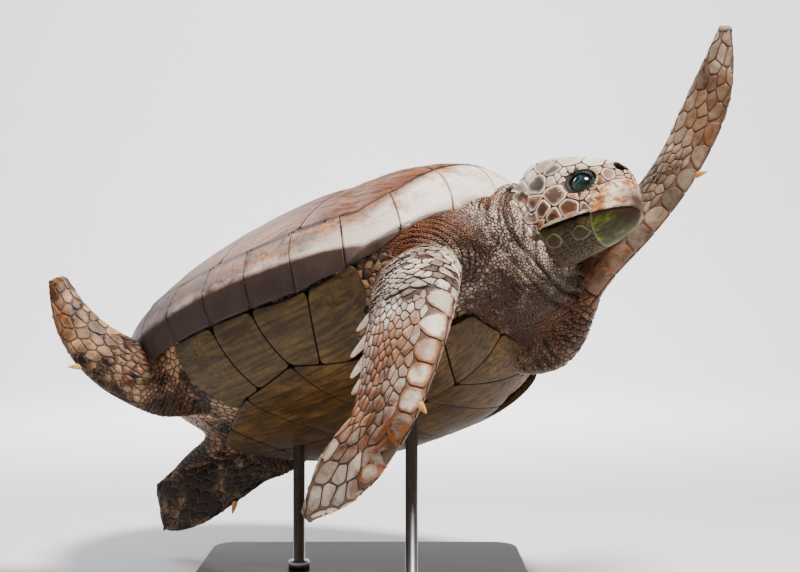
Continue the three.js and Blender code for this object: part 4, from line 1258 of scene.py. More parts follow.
def seed_list(mesh, lookup, tree):
    """Where every scale grows: the named shields first, then as many as the hide has room for."""
    seeds = []

    def named(part, along, turn, size, stretch, spot):
        start, _ = part_surface(part, np.array([along]), np.array([turn]))
        where, normal, _, _ = tree.find_nearest(Vector(start[0]))
        seeds.append((where, normal, part, along, turn, size, stretch, spot))

    for row, shields in SHIELDS.items():
        for along, angle, size, spot in shields:
            for turn in (math.radians(180 - angle), math.radians(angle)):
                named(HEAD, along, turn % (2 * math.pi), size, JAW_STRETCH if row == "jaw" else 1.0, spot)
    for along, angle, size, spot in CROWN_SHIELDS:
        named(HEAD, along, math.radians(angle), size, 1.0, spot)
    for part, (first, last, step) in EDGE_SCALES.items():
        large = 27.0 if part <= FRONT_LEFT else 14.0
        along = first
        while along < last:
            fade = 1 - 0.35 * (along - first) / (last - first)
            for turn in (0.5, -0.5):
                named(part, along, turn % (2 * math.pi), large * fade, 1.0, 0.0)
            along += step * fade
    places = values_of(mesh.polygons, "center", 3)
    facing = values_of(mesh.polygons, "normal", 3)
    order = np.random.default_rng(11).permutation(len(places))
    finder = point_tree(places)
    taken = np.zeros(len(places), bool)
    for where, _, part, _, _, size, stretch, _ in seeds:
        room = 0.94 if size < 17.5 or part == HEAD else 0.72
        for _, j, _ in finder.find_range(where, size * room * (1 + stretch) / 2 * MM):
            taken[j] = True
    for i in order:
        if taken[i]:
            continue
        p = places[i]
        taken[i] = True
        sample = lookup.single.find(p)[1]
        part, along, turn = int(lookup.owner[sample]), float(lookup.along[sample]), float(lookup.turn[sample])
        if bare(*p) or hidden(Vector(p), Vector(facing[i])):
            continue
        size, stretch = scale_size(part, along, turn, *p)
        run = lookup.run[sample]
        reach = size * 0.80 * MM
        for _, j, away in finder.find_range(p, reach * stretch):
            lengthwise = abs(float(np.dot(places[j] - p, run)))
            across = math.sqrt(max(0.0, away * away - lengthwise * lengthwise))
            if math.hypot(lengthwise / stretch, across) < reach:
                taken[j] = True
        seeds.append((Vector(p), Vector(facing[i]), part, along, turn, size, stretch, -1.0))
    return seeds


def bare(x, y, z):
    """Whether a place on the head carries no scales: the beak, the eye, the nostril and the mouth."""
    if x < 0.48 or x > 0.70 or abs(y) > 0.09 or z < -0.07:
        return False
    above = z - mouth_height(x)
    if x > JAW_CORNER and -0.7 * MM < above < 2.4 * MM:
        return True
    if x - 0.600 > 0.35 * (z - 0.016) - 0.002 and 0.2 * (x - 0.6) - (z - 0.034) > -0.002:
        return True
    side = 1 if y > 0 else -1
    centre, axis, ahead, up = EYE_FRAMES[side]
    away = np.array([x, y, z]) - centre
    if math.hypot(away @ ahead / LID_REACH[0], away @ up / LID_REACH[1]) < 0.98 and away @ axis > 0:
        return True
    away = (x - NOSTRIL_AT[0]) ** 2 + (abs(y) - NOSTRIL_AT[1]) ** 2 + (z - NOSTRIL_AT[2]) ** 2
    return away < (NOSTRIL_RADIUS * 1.25) ** 2


EYE_FRAMES = {side: eye_frame(side) for side in (1, -1)}
LID_SHADE = 0.75     # how much darker the bare hide is round the eye
HIDDEN_TILTS = [(0.0, 0.0), (0.9, 0.0), (0.9, 1.6), (0.9, 3.1), (0.9, 4.7)]


def hidden(point, normal):
    """Whether a place on the hide lies inside the shell, so that nothing is seen of it."""
    side = normal.orthogonal().normalized()
    other = normal.cross(side)
    for tilt, turn in HIDDEN_TILTS:
        ray = normal * math.cos(tilt) + (side * math.cos(turn) + other * math.sin(turn)) * math.sin(tilt)
        _, face, _, _ = SHELL_TREE.ray_cast(point - normal * 1.5 * MM, ray, 0.4)
        if face is None or face.dot(ray) < 0:
            return False
    return True


def walked(tree, start, step, pieces):
    """Where a walk over the hide ends that sets out along a step and keeps to the surface."""
    spot, run = start, step / pieces
    length = run.length
    for _ in range(pieces):
        spot, up, _, _ = tree.find_nearest(spot + run)
        run = run - up * run.dot(up)
        if run.length > 1e-9:
            run *= length / run.length
    return spot, up


def cut_cell(reach, others):
    """The polygon that a scale has to itself among its neighbours, seen from its middle."""
    cell = [(reach * math.cos(math.pi * k / 5), reach * math.sin(math.pi * k / 5)) for k in range(10)]
    for x, y, limit in others:
        kept = []
        ax, ay = cell[-1]
        a = ax * x + ay * y - limit
        for bx, by in cell:
            b = bx * x + by * y - limit
            if a * b < 0:
                t = a / (a - b)
                kept.append((ax + (bx - ax) * t, ay + (by - ay) * t))
            if b <= 0:
                kept.append((bx, by))
            ax, ay, a = bx, by, b
        cell = kept
        if len(cell) < 3:
            return []
    return cell


def denser(cell):
    """The same polygon with a point in the middle of each side."""
    out = []
    for k, (bx, by) in enumerate(cell):
        nx, ny = cell[(k + 1) % len(cell)]
        out += [(bx, by), ((bx + nx) / 2, (by + ny) / 2)]
    return out


def eased_cell(cell):
    """The same polygon with each corner cut."""
    out = []
    for k, (bx, by) in enumerate(cell):
        ax, ay = cell[k - 1]
        out.append((ax * 0.17 + bx * 0.83, ay * 0.17 + by * 0.83))
        nx, ny = cell[(k + 1) % len(cell)]
        out.append((bx * 0.83 + nx * 0.17, by * 0.83 + ny * 0.17))
    return out


ATLAS = {part: ((part % 4) * 0.25 + 0.012, (part // 4) * 0.5 + 0.012) for part in range(8)}


def atlas_place(part, along, turn):
    """The place of a point of the hide on its unwrapping: one long panel for each part."""
    corner = ATLAS[part]
    return corner[0] + 0.215 * turn / (2 * math.pi), corner[1] + 0.47 * along


def build_scales(seeds, tree, points_of_hide):
    """Every scale as points, faces and the values its finish needs, sorted by piece."""
    single_skin = point_tree(points_of_hide)
    finder = point_tree([seed[0] for seed in seeds])
    chance = np.random.default_rng(5).random((len(seeds), 4))
    pieces = {}
    for i, (where, normal, part, along, turn, size, stretch, spot) in enumerate(seeds):
        _, run = part_surface(part, np.array([along]), np.array([turn]))
        flow = Vector(run[0])
        flow = flow - normal * flow.dot(normal)
        if flow.length < 1e-4:
            flow = normal.orthogonal()
        flow.normalize()
        side = normal.cross(flow)
        large = size > 7.4
        radius = size / 2 * MM
        gap = GAP_LARGE if large else GAP_SMALL
        others = []
        for place, j, away in finder.find_n(where, 26 if large else 16):
            if j == i or away > (size + 16) * MM * stretch:
                continue
            delta = place - where
            lean = seeds[j][1].dot(normal)
            if lean < -0.55:
                continue
            x, y = delta.dot(flow), delta.dot(side)
            flat = math.hypot(x, y)
            if flat < 1e-6:
                continue
            half_turn = math.acos(max(-1.0, min(1.0, lean))) / 2
            arc = away * (half_turn / math.sin(half_turn) if half_turn > 1e-3 else 1.0)
            x, y = x * arc / flat / stretch, y * arc / flat
            m = math.hypot(x, y)
            other = seeds[j][5] / 2 * MM
            limit = (m * m + radius * radius - other * other) / (2 * m) - gap / 2
            others.append((x / m, y / m, limit))
        cell = cut_cell(size * 1.25 * MM, others)
        if len(cell) < 3:
            continue
        cell = eased_cell(cell) if size > 5.5 else cell
        cell = denser(eased_cell(cell)) if size > 11.0 else cell
        rim = []
        upper = where.z > mouth_height(where.x)
        steps = 5 if size > 11 else 2 if large else 1
        for x, y in cell:
            share = 1.0
            step = flow * (x * stretch) + side * y
            near, up = walked(tree, where, step, steps)
            while part == HEAD and share > 0.3 and (bare(*near) or across_mouth(near, upper)):
                share -= 0.12
                near, up = walked(tree, where, step * share, steps)
            rim.append((near, up))
        middle = Vector((0, 0, 0))
        for near, _ in rim:
            middle += near
        middle /= len(rim)
        centre, centre_up, _, away = tree.find_nearest(middle)
        if away > 6 * MM or (centre - where).length > size * MM:
            continue
        height = min(0.9, 0.34 + 0.05 * size) * MM
        span = sum((near - centre).length for near, _ in rim) / len(rim) / MM
        inner = 1 - min(0.3, 0.55 / span)
        rings = [(1.0, -0.45 * MM), (1.0, 0.45 * height), (inner, 0.92 * height)]
        if large:
            rings += [(1 - min(0.45, 2.2 / span), 1.0 * height), (0.5, 1.05 * height), (0.25, 1.08 * height)]
        count = len(rim)
        points, values, shares = [], [], []
        for share, lift in rings:
            for near, up in rim:
                spot_at = centre + (near - centre) * share
                lean = (centre_up + (up - centre_up) * share).normalized()
                if large and share < 1:
                    spot_at, lean, _, _ = tree.find_nearest(spot_at)
                points.append(spot_at + lean * lift)
                values.append((1 - share) * span)
                shares.append(share)
        points.append(centre + centre_up * height * 1.08)
        values.append(span)
        shares.append(0.0)
        faces = ring_faces(len(rings), count)
        top = (len(rings) - 1) * count
        for k in range(count):
            faces.append((top + k, top + (k + 1) % count, len(points) - 1))
        faces.append(tuple(range(count - 1, -1, -1)))
        key = piece_of(part, where)
        store = pieces.setdefault(key, {name: [] for name in ("points", "faces", "uv") + SCALE_VALUES})
        start = len(store["points"])
        store["points"] += points
        store["faces"] += [tuple(n + start for n in face) for face in faces]
        store["edge"] += values
        store["share"] += shares
        pale, stain = hide_colour(part, along, turn, where)
        crease = float(CREASE[single_skin.find(where)[1]])
        amount = len(points)
        # Painted shade: a scale deep in a fold crease gets a darker tone and less paleness.
        deep = smooth_step(0.2, 0.75, crease)
        store["tone"] += [float(0.35 + 0.65 * chance[i, 0]) * (1 - 0.8 * deep)] * amount
        store["spot"] += [0.0 if spot < 0 else max(0.05, spot)] * amount
        store["pale"] += [(pale + 0.25 * (float(chance[i, 1]) - 0.5)) * (1 - 0.8 * deep)] * amount
        store["stain"] += [stain + 0.16 * (float(chance[i, 2]) - 0.5)] * amount
        u, v = atlas_place(part, along, turn)
        for k, share in enumerate(shares):
            angle = 2 * math.pi * (k % count) / count
            store["uv"].append((u + 0.0015 * share * math.cos(angle), v + 0.0015 * share * math.sin(angle)))
    return pieces


def across_mouth(where, upper):
    return where.x > JAW_CORNER and (where.z > mouth_height(where.x)) != upper


def piece_of(part, where):
    if part == HEAD:
        return "throat_scales" if where.z < mouth_height(where.x) else "head_scales"
    if part == NECK:
        return "neck_scales"
    if part in (TRUNK, TAIL):
        return "flank_scales_left" if where.y > 0 else "flank_scales_right"
    return f"{PARTS[part]}_scales"


def hide_colour(part, along, turn, where):
    """How pale a scale is and how far it is stained, by where it grows, in broad patches. Its paleness also
    holds painted light and shade: paler where a scale faces up, darker low on the neck, and a painted highlight
    down the leading side of the right front flipper.
    """
    upward = math.sin(turn)
    patch = noise.noise(where * 9.0)
    soak = 0.42 + 0.7 * noise.noise(where * 7.0 + Vector((5, 2, 9)))
    if part == HEAD:
        if where.z < mouth_height(where.x):
            # Painted light: throat scales are paler where they face up.
            return 0.45 + 0.5 * upward + 0.2 * patch, 0.1
        nose = (where - Vector((NOSTRIL_AT[0], math.copysign(NOSTRIL_AT[1], where.y), NOSTRIL_AT[2]))).length
        snout = within((where.x - 0.60) / 0.02) * within((0.10 - where.z) / 0.03)
        # Painted light: head scales are paler where they face up.
        pale = 0.12 + 0.75 * max(0.0, upward) ** 0.7 + 0.3 * patch
        return pale, max(soak * 0.8, 0.75 * snout, 1.3 - nose / 0.02)
    if part == NECK:
        below = within((0.03 - where.z) / 0.12)
        by_arm = from_shoulder(where, "front_right")
        fan = within((0.19 - by_arm) / 0.05) * within((where.z + 0.06) / 0.06)
        # Painted light and shade: neck scales are paler where they face up and darker low down.
        return (0.72 + 0.35 * max(0.0, upward) - 0.75 * below - 0.40 * fan + 0.35 * patch,
                soak * (0.7 + 0.6 * max(0.0, upward)) + 0.15 * below + 0.45 * fan)
    if part == TRUNK:
        return 0.25 + 0.2 * patch, 0.2
    if part == TAIL:
        return 0.2, 0.3
    leading = 0.5 + 0.5 * math.cos(turn)
    if part == FRONT_RIGHT:
        soak *= 0.8
        cap = within((along - 0.12) / 0.06) * (1 - within((along - 0.32) / 0.1))
        # Painted highlight: this flipper is paler along its leading side, most of all on the shoulder cap.
        pale = 0.10 + 0.42 * leading + 0.6 * cap * leading + 0.5 * patch
        return pale, soak * (0.5 if cap > 0.5 else 1.0) + 0.2
    if part == FRONT_LEFT:
        return 0.25 + 0.25 * within((along - 0.3) / 0.2) + 0.5 * patch, soak
    if part == HIND_RIGHT:
        return 0.08 + 0.3 * along + 0.9 * patch, soak
    return 0.15 * patch, 0.25


def mouth_height(x):
    return JAW_HEIGHT + JAW_SLOPE * (x - JAW_CORNER)


def scale_group():
    """Colour for skin and scales: pale or brown by place, stained, with a border, a seam and a spot."""
    tree, given = new_group("scaly_hide", HIDE_COLOURS, HIDE_VALUES)
    body = attribute(tree, "body", "Vector")
    edge, share, tone, spot, pale, stain = (attribute(tree, name) for name in SCALE_VALUES)
    cloud = clouds(tree, body, 14.0, 7.0, 0.7, 0.6)
    fine = clouds(tree, body, 60.0, 6.0, 0.72)
    grain = clouds(tree, body, 330.0, 3.0, 0.6)
    swing = ranged(tree, cloud, 0.3, 0.7, -1.0, 1.0, clamp=False)
    shift = maths(tree, "MULTIPLY", swing, given["Mottle"])
    # The pale value holds painted light and shade besides each scale's own paleness.
    lifted = maths(tree, "ADD", pale, shift, clamp=True)
    ground = mixed(tree, lifted, given["Brown"], given["Pale"])
    soak = maths(tree, "ADD", fine, stain)
    soaked = ranged(tree, soak, 0.95, 1.35, 0.0, 0.85)
    stained = mixed(tree, soaked, ground, given["Stain"])
    ragged = ranged(tree, fine, 0.3, 0.7, -0.75, 0.75)
    deep = maths(tree, "DIVIDE", edge, given["Border Width"])
    inwards = maths(tree, "ADD", deep, ragged)
    border = ranged(tree, inwards, 0.6, 1.3, 1.0, 0.0)
    strength = ranged(tree, spot, 0.0, 0.04, given["Small Border"], given["Border Strength"])
    bordered = maths(tree, "MULTIPLY", border, strength)
    framed = mixed(tree, bordered, stained, given["Border"])
    wobble = maths(tree, "ADD", cloud, fine)
    strewn = ranged(tree, wobble, 0.7, 1.3, 0.5, 1.5, clamp=False)
    spread = maths(tree, "ADD", share, strewn)
    inside = maths(tree, "SUBTRACT", spread, given["Spot Size"])
    core = ranged(tree, inside, 0.7, 1.1, 0.92, 0.0)
    cored = maths(tree, "MULTIPLY", core, spot)
    spotted = mixed(tree, cored, framed, given["Spot"])
    # The tone value holds painted shade in creases, the mouth groove and the nostril hollows, over each scale's
    # own random tone.
    varied = ranged(tree, tone, 0.0, 1.0, 0.3, 1.1)
    toned = mixed(tree, 1.0, spotted, varied, blend="MULTIPLY")
    at_rim = ranged(tree, edge, 0.1, given["Seam Width"], 1.0, 0.0)
    last = mixed(tree, at_rim, toned, given["Seam"])
    rough = maths(tree, "ADD", fine, grain)
    gloss = ranged(tree, cloud, 0.3, 0.7, 0.34, 0.52)
    add_node(tree, "NodeGroupOutput", {"Color": last, "Height": rough, "Roughness": gloss})
    return tree


HIDE_COLOURS = ("Pale", "Brown", "Stain", "Border", "Seam", "Spot")
HIDE_VALUES = ("Border Width", "Border Strength", "Small Border", "Seam Width", "Spot Size", "Mottle")
HIDE = scale_group()


def hide_material(name, colours, values, bump):
    settings = dict(zip(HIDE_COLOURS + HIDE_VALUES, tuple(colours.split()) + values))
    return group_material(name, HIDE, settings, bump, 0.0006)


SKIN_HIDE = hide_material("folded_skin", "7d6452 160c08 4a2412 2b1a12 1c110c 120b08",
                          (1.0, 0.0, 0.0, 0.2, 0.0, 0.3), 0.35)
NECK_SCALES = hide_material("neck_scales", "e8d2ba 422616 8a4616 5a3218 100804 2a1a14",
                            (0.8, 0.25, 0.2, 0.45, 0.0, 0.5), 0.4)
THROAT_SCALES = hide_material("throat_scales", "8a6c34 3a260e 5a3a16 7e8650 140e06 241c08",
                              (1.5, 0.75, 0.05, 0.5, 0.9, 0.35), 0.35)
LIMB_SCALES = hide_material("limb_scales", "e6d6c2 57382a 96531c 8a4a12 120906 3a2016",
                            (3.2, 0.85, 0.2, 0.8, 0.35, 0.55), 0.4)
LEFT_SCALES = hide_material("shaded_scales", "a8927c 2e1e14 6a4022 7a4420 140a06 3a2016",
                            (2.2, 0.6, 0.3, 0.5, 0.35, 0.6), 0.4)
HIND_SCALES = hide_material("hind_scales", "bf9670 20110a 8c4c1c 4a2a18 0e0704 2a1a14",
                            (0.9, 0.35, 0.3, 0.5, 0.35, 0.8), 0.4)
HEAD_SCALES = hide_material("head_scales", "ecd9c4 9a6238 a0581c eadccc 5c3520 262026",
                            (1.7, 0.85, 0.35, 0.4, 0.78, 0.3), 0.3)
FINISHES = {"head_scales": HEAD_SCALES, "neck_scales": NECK_SCALES, "throat_scales": THROAT_SCALES,
            "flank_scales_left": HIND_SCALES, "flank_scales_right": HIND_SCALES,
            "front_right_scales": LIMB_SCALES, "front_left_scales": LEFT_SCALES,
            "hind_right_scales": HIND_SCALES, "hind_left_scales": HIND_SCALES}


def uv_layer(piece, point_places=None, corner_places=None):
    """The unwrapping, from a place for each point or for each corner."""
    if corner_places is None:
        corner_places = np.asarray(point_places)[values_of(piece.data.loops, "vertex_index", kind=int)]
    layer = piece.data.uv_layers.new(name="OFBake")
    layer.data.foreach_set("uv", np.asarray(corner_places, np.float32).ravel())


def hide_uv(mesh, place):
    """The unwrapping of the hide itself, one long panel for each part."""
    corners = values_of(mesh.loops, "vertex_index", kind=int)
    starts = values_of(mesh.polygons, "loop_start", kind=int)
    sizes = values_of(mesh.polygons, "loop_total", kind=int)
    owner_face = np.repeat(np.arange(len(sizes)), sizes)
    part = place["part"][corners[starts]][owner_face]
    turn = place["turn"][corners]
    first = place["turn"][corners[starts]][owner_face]
    turn = np.where(turn - first > math.pi, turn - 2 * math.pi, turn)
    turn = np.where(first - turn > math.pi, turn + 2 * math.pi, turn)
    corner_u = np.array([ATLAS[p][0] for p in range(8)])[part]
    corner_v = np.array([ATLAS[p][1] for p in range(8)])[part]
    return np.stack([corner_u + 0.215 * turn / (2 * math.pi), corner_v + 0.47 * place["along"][corners]], -1)


outer_points, outer_faces, _ = joined(SHELL_OUTERS)
SHELL_TREE = BVHTree.FromPolygons([Vector(p) for p in outer_points], outer_faces)
HIDE_TREE = BVHTree.FromPolygons([Vector(p) for p in points], [tuple(f.vertices) for f in hide.polygons])
seeds = seed_list(hide, LOOKUP, HIDE_TREE)
for key, store in build_scales(seeds, HIDE_TREE, points).items():
    piece = mesh_object(key, store["points"], store["faces"])
    for name in SCALE_VALUES:
        give_floats(piece, name, store[name])
    uv_layer(piece, store["uv"])
    settled(piece, FINISHES[key], "head_skin" if key in ("head_scales", "throat_scales") else "skin")

# The hide keeps fewest triangles where it is flat, and every new point takes its values from the nearest
# old one.
SKIN_TRIANGLES = 190000
whole_skin = point_tree(points)
triangles = sum(len(face.vertices) - 2 for face in hide.polygons)
hide = modified(in_scene("skin", hide), "DECIMATE", ratio=SKIN_TRIANGLES / triangles)
points = values_of(hide.vertices, "co", 3)
nearest = np.array([whole_skin.find(point)[1] for point in points])
CREASE, GROOVE, HOLLOW = CREASE[nearest], GROOVE[nearest], HOLLOW[nearest]
place = {key: values[nearest] for key, values in place.items()}
skin = in_scene("skin", hide)
hide.materials.clear()
hide.polygons.foreach_set("use_smooth", [True] * len(hide.polygons))
# Painted shade: the hide's tone and paleness fall in fold creases, in the mouth groove and in the nostril
# hollows.
dark = np.clip(1 - CREASE - 2 * GROOVE - HOLLOW, 0.0, 1.0)
for centre, axis, ahead, up in EYE_FRAMES.values():
    away = points - centre
    reach = np.hypot(away @ ahead / LID_REACH[0], away @ up / LID_REACH[1])
    dark = dark * (1 - LID_SHADE * (1 - smooth_step(0.85, 1.1, reach)) * (away @ axis > 0))
outer_limb = (place["part"] >= FRONT_RIGHT) & (place["part"] <= HIND_LEFT) & (place["along"] > 0.25)
even = np.ones(len(points))
for name, values in zip(SCALE_VALUES, (3.0 * even, even, dark, 0.0 * even,
                                       np.where(outer_limb, 0.45, 0.25) * dark, 0.4 * dark)):
    give_floats(skin, name, values)
uv_layer(skin, corner_places=hide_uv(hide, place))
FLESH = ["trunk", "head", "lower_jaw", "neck", "tail"]
FLESH += [f"{limb}_{side}" for limb in ("arm", "flipper", "thigh", "hind_flipper")
          for side in ("left", "right")]
settled(skin, SKIN_HIDE, "skin", *FLESH)

# ------------------------------------------------------------------------------------------------
# The eyes: dark balls with a blue-green iris under a clear wet cornea, set in beaded lids. Each lid
# ring is one closed fold of skin that grips the ball at its inner margin and sinks under the scales.
# ------------------------------------------------------------------------------------------------
IRIS_RADIUS, PUPIL_RADIUS = 0.52, 0.24
CORNEA_BULGE = 0.035
GAZE_BACK, GAZE_UP = 0.25, 0.22
LID_BEADS = (30, 24)
# Across a lid from its inner margin outwards: share of the width, and height over the base line in mm.
LID_SECTION = [(0.04, -4.5), (0.00, -0.2), (0.01, 0.55), (0.05, 1.15), (0.12, 1.35), (0.20, 1.25),
               (0.30, 1.55), (0.42, 1.75), (0.53, 1.35), (0.62, 1.55), (0.75, 1.5), (0.86, 0.9),
               (1.0, -0.4), (1.0, -4.5)]


def eyeball(side):
    centre, axis, ahead, up = eye_frame(side)
    axis = axis - ahead * GAZE_BACK + up * GAZE_UP
    axis /= np.linalg.norm(axis)
    ahead = ahead - axis * (ahead @ axis)
    ahead /= np.linalg.norm(ahead)
    up = np.cross(axis, ahead)
    around, rows = 56, 36
    points, faces, values = [centre + axis * EYE_RADIUS * (1 + CORNEA_BULGE)], [], [0.0]
    for row in range(1, rows + 1):
        tilt = math.pi * 0.78 * row / rows
        radius = EYE_RADIUS * (1 + CORNEA_BULGE * math.exp(-(tilt / 0.5) ** 2))
        for i in range(around):
            turn = 2 * math.pi * i / around
            outwards = ahead * math.cos(turn) + up * math.sin(turn)
            points.append(centre + radius * (axis * math.cos(tilt) + outwards * math.sin(tilt)))
            values.append(math.sin(tilt) if tilt < math.pi / 2 else 1.0)
    for i in range(around):
        j = (i + 1) % around
        faces.append((0, 1 + i, 1 + j))
        for row in range(rows - 1):
            a = 1 + row * around
            faces.append((a + i, a + around + i, a + around + j, a + j))
    faces.append(tuple(1 + (rows - 1) * around + i for i in reversed(range(around))))
    return np.array(points), faces, np.array(values)


def eyelid(side):
    centre, axis, ahead, up = eye_frame(side)
    around = 216
    points, values = [], []
    for i in range(around):
        turn = 2 * math.pi * i / around
        c, s = math.cos(turn), math.sin(turn)
        inner = np.array([OPENING[0] * c, OPENING[1] * s * (1.0 if s < 0 else 0.92)])
        outer = np.array([LID_REACH[0] * c, LID_REACH[1] * s])
        for k, (share, lift) in enumerate(LID_SECTION):
            spread = inner + (outer - inner) * share
            away = math.hypot(*spread)
            ball = math.sqrt(max(0.0, EYE_RADIUS ** 2 - away ** 2))
            head = EYE_RADIUS * 1.02 - away ** 2 / 0.13
            base = ball + (head - ball) * min(1.0, share * 1.25)
            bead = 0.0
            if 0.2 < share < 0.5:
                bead = 0.55 * abs(math.cos(LID_BEADS[0] / 2 * turn)) ** 0.6 - 0.3
            elif 0.55 < share < 0.9:
                bead = 0.55 * abs(math.cos(LID_BEADS[1] / 2 * turn + 0.7)) ** 0.6 - 0.3
            hood = 0.8 * max(0.0, s) * math.exp(-((share - 0.1) / 0.3) ** 2)
            height = base + (lift + (bead + hood if lift > 0 else 0.0)) * MM
            points.append(centre + axis * height + ahead * spread[0] + up * spread[1])
            values.append(share + 0.25 * bead)
    faces = []
    count = len(LID_SECTION)
    for i in range(around):
        j = (i + 1) % around
        for k in range(count):
            n = (k + 1) % count
            faces.append((i * count + k, i * count + n, j * count + n, j * count + k))
    return np.array(points), faces, np.array(values)


def outward(piece):
    """Turns every face of a closed piece outwards."""
    shape = bmesh.new()
    shape.from_mesh(piece.data)
    bmesh.ops.recalc_face_normals(shape, faces=shape.faces)
    shape.to_mesh(piece.data)
    shape.free()


def eye_material():
    material, tree, shader = new_material("eye")
    ring = attribute(tree, "ring")
    body = attribute(tree, "body", "Vector")
    rays = clouds(tree, body, 260.0, 4.0, 0.7)
    shift = maths(tree, "MULTIPLY", rays, 0.16)
    spread = maths(tree, "ADD", ring, shift)
    stops = [(0.0, "020303"), (PUPIL_RADIUS + 0.05, "030505"), (PUPIL_RADIUS + 0.10, "0a2c2c"),
             (0.46, "12484a"), (0.55, "0b2c2c"), (IRIS_RADIUS + 0.03, "050c0b"),
             (IRIS_RADIUS + 0.12, "10291c"), (0.80, "070c09"), (1.0, "030504")]
    tree.links.new(ramped(tree, spread, stops), shader.inputs["Base Color"])
    shader.inputs["Roughness"].default_value = 0.12
    shader.inputs["Coat Weight"].default_value = 1.0
    shader.inputs["Specular IOR Level"].default_value = 0.5
    shader.inputs["Coat Roughness"].default_value = 0.02
    return material


def lid_material():
    material, tree, shader = new_material("eyelid_skin")
    share = attribute(tree, "ring")
    body = attribute(tree, "body", "Vector")
    cloud = clouds(tree, body, 60.0, 5.0, 0.7)
    fine = clouds(tree, body, 380.0, 3.0)
    shift = ranged(tree, cloud, 0.3, 0.7, -0.1, 0.1)
    moved = maths(tree, "ADD", share, shift)
    stops = [(0.0, "0a0e09"), (0.2, "101510"), (0.42, "1a2016"), (0.62, "0e100b"), (0.88, "14120d"),
             (0.97, "a8977c"), (1.0, "c8bca4")]
    relief = add_node(tree, "ShaderNodeBump", {"Strength": 0.3, "Distance": 0.0004, "Height": fine})
    tree.links.new(ramped(tree, moved, stops), shader.inputs["Base Color"])
    tree.links.new(relief.outputs[0], shader.inputs["Normal"])
    shader.inputs["Roughness"].default_value = 0.38
    return material


EYE_FINISH, LID_FINISH = eye_material(), lid_material()
for side, word in ((1, "left"), (-1, "right")):
    for name, shape, finish, slot, nodes in (
            (f"eyeball_{word}", eyeball(side), EYE_FINISH, "eye", [f"eye_{word}"]),
            (f"eyelids_{word}", eyelid(side), LID_FINISH, "head_skin", [])):
        piece = mesh_object(name, *shape[:2])
        outward(piece)
        give_floats(piece, "ring", shape[2])
        settled(piece, finish, slot, *nodes)

# ------------------------------------------------------------------------------------------------
# The beak: the horn sheaths of the two jaws. The upper one is pale with brown stains and laps over
# the lower, which is olive green and glossy; both are cut from the head's own form.
# ------------------------------------------------------------------------------------------------
BEAK_FRONT, BEAK_FRONT_LEAN = Vector((0.600, 0, 0.016)), Vector((1, 0, -0.35))
BEAK_TOP, BEAK_TOP_LEAN = Vector((0.6, 0, 0.034)), Vector((0.2, 0, -1))
MOUTH_AT, MOUTH_UP = Vector((JAW_CORNER, 0, JAW_HEIGHT)), Vector((-JAW_SLOPE, 0, 1)).normalized()


def horn_jaw(name, upper):
    shape_points, shape_faces = tube(HEAD, 128, 160)
    piece = mesh_object(name, shape_points, shape_faces)
    shape = bmesh.new()
    shape.from_mesh(piece.data)
    bmesh.ops.recalc_face_normals(shape, faces=shape.faces)
    shape.normal_update()
    for vertex in shape.verts:
        above = (vertex.co - MOUTH_AT).dot(MOUTH_UP)
        if upper:
            lip = 0.5 * math.exp(-(above / (2.4 * MM)) ** 2)
            vertex.co += vertex.normal * (lip - 0.1) * MM
        else:
            vertex.co -= vertex.normal * (1.0 * math.exp(-(above / (5.0 * MM)) ** 2) + 0.2) * MM
    cuts = [(BEAK_FRONT, BEAK_FRONT_LEAN), (BEAK_TOP, BEAK_TOP_LEAN)]
    cuts.append((MOUTH_AT + MOUTH_UP * (0.1 if upper else -0.5) * MM, MOUTH_UP if upper else -MOUTH_UP))
    for at, direction in cuts:
        geometry = shape.verts[:] + shape.edges[:] + shape.faces[:]
        cut = bmesh.ops.bisect_plane(shape, geom=geometry, plane_co=at, plane_no=direction, clear_inner=True)
        rim = [e for e in cut["geom_cut"] if isinstance(e, bmesh.types.BMEdge)]
        bmesh.ops.triangle_fill(shape, edges=rim, use_beauty=True)
        for e in rim:
            if e.is_valid:
                e.smooth = False
    bmesh.ops.recalc_face_normals(shape, faces=shape.faces)
    for face in shape.faces:
        face.smooth = True
    shape.to_mesh(piece.data)
    shape.free()
    return piece


def beak_material(name, colours, bump, rough):
    """Horn in three colours by broad clouds, with fine streaks that run back from the tip."""
    material, tree, shader = new_material(name)
    body = attribute(tree, "body", "Vector")
    along = add_node(tree, "ShaderNodeMapping", {"Vector": body, "Scale": (22.0, 60.0, 60.0)})
    streak = clouds(tree, along.outputs[0], 2.0, 5.0, 0.6)
    cloud = clouds(tree, body, 34.0, 4.0, 0.5, 0.5)
    both = maths(tree, "ADD", streak, cloud)
    level = ranged(tree, both, 0.72, 1.28)
    shades = ramped(tree, level, [(k / (len(colours) - 1), code) for k, code in enumerate(colours)])
    gloss = ranged(tree, cloud, 0.0, 1.0, rough, rough + 0.14)
    dressed(tree, shader, shades, gloss, streak, bump, 0.0005)
    return material


def opened(material):
    """What a beak's horn is coloured on with: its tree and shader, the place on the body, the colour so far."""
    tree = material.node_tree
    shader = tree.nodes["Principled BSDF"]
    axes = add_node(tree, "ShaderNodeSeparateXYZ", {"Vector": attribute(tree, "body", "Vector")})
    return tree, shader, axes, shader.inputs["Base Color"].links[0].from_socket


def green_beak():
    """Glossy horn: a pale line behind, yellow green in the middle and brown at the tip and under the lip."""
    material = beak_material("green_beak", ("1e1404", "2a2606", "3e420c", "646c16"), 0.25, 0.42)
    tree, shader, axes, green = opened(material)
    tip = ranged(tree, axes.outputs[0], 0.625, 0.65)
    lip = ranged(tree, axes.outputs[2], -0.024, -0.01)
    most = maths(tree, "MAXIMUM", tip, lip)
    browned = mixed(tree, most, green, "2c1c0a")
    lean = maths(tree, "MULTIPLY", axes.outputs[2], 0.35)
    back = maths(tree, "SUBTRACT", axes.outputs[0], lean)
    line = ranged(tree, back, 0.5965, 0.6, 0.35, 0.0)
    edged = mixed(tree, line, browned, "788464")
    tree.links.new(edged, shader.inputs["Base Color"])
    return material


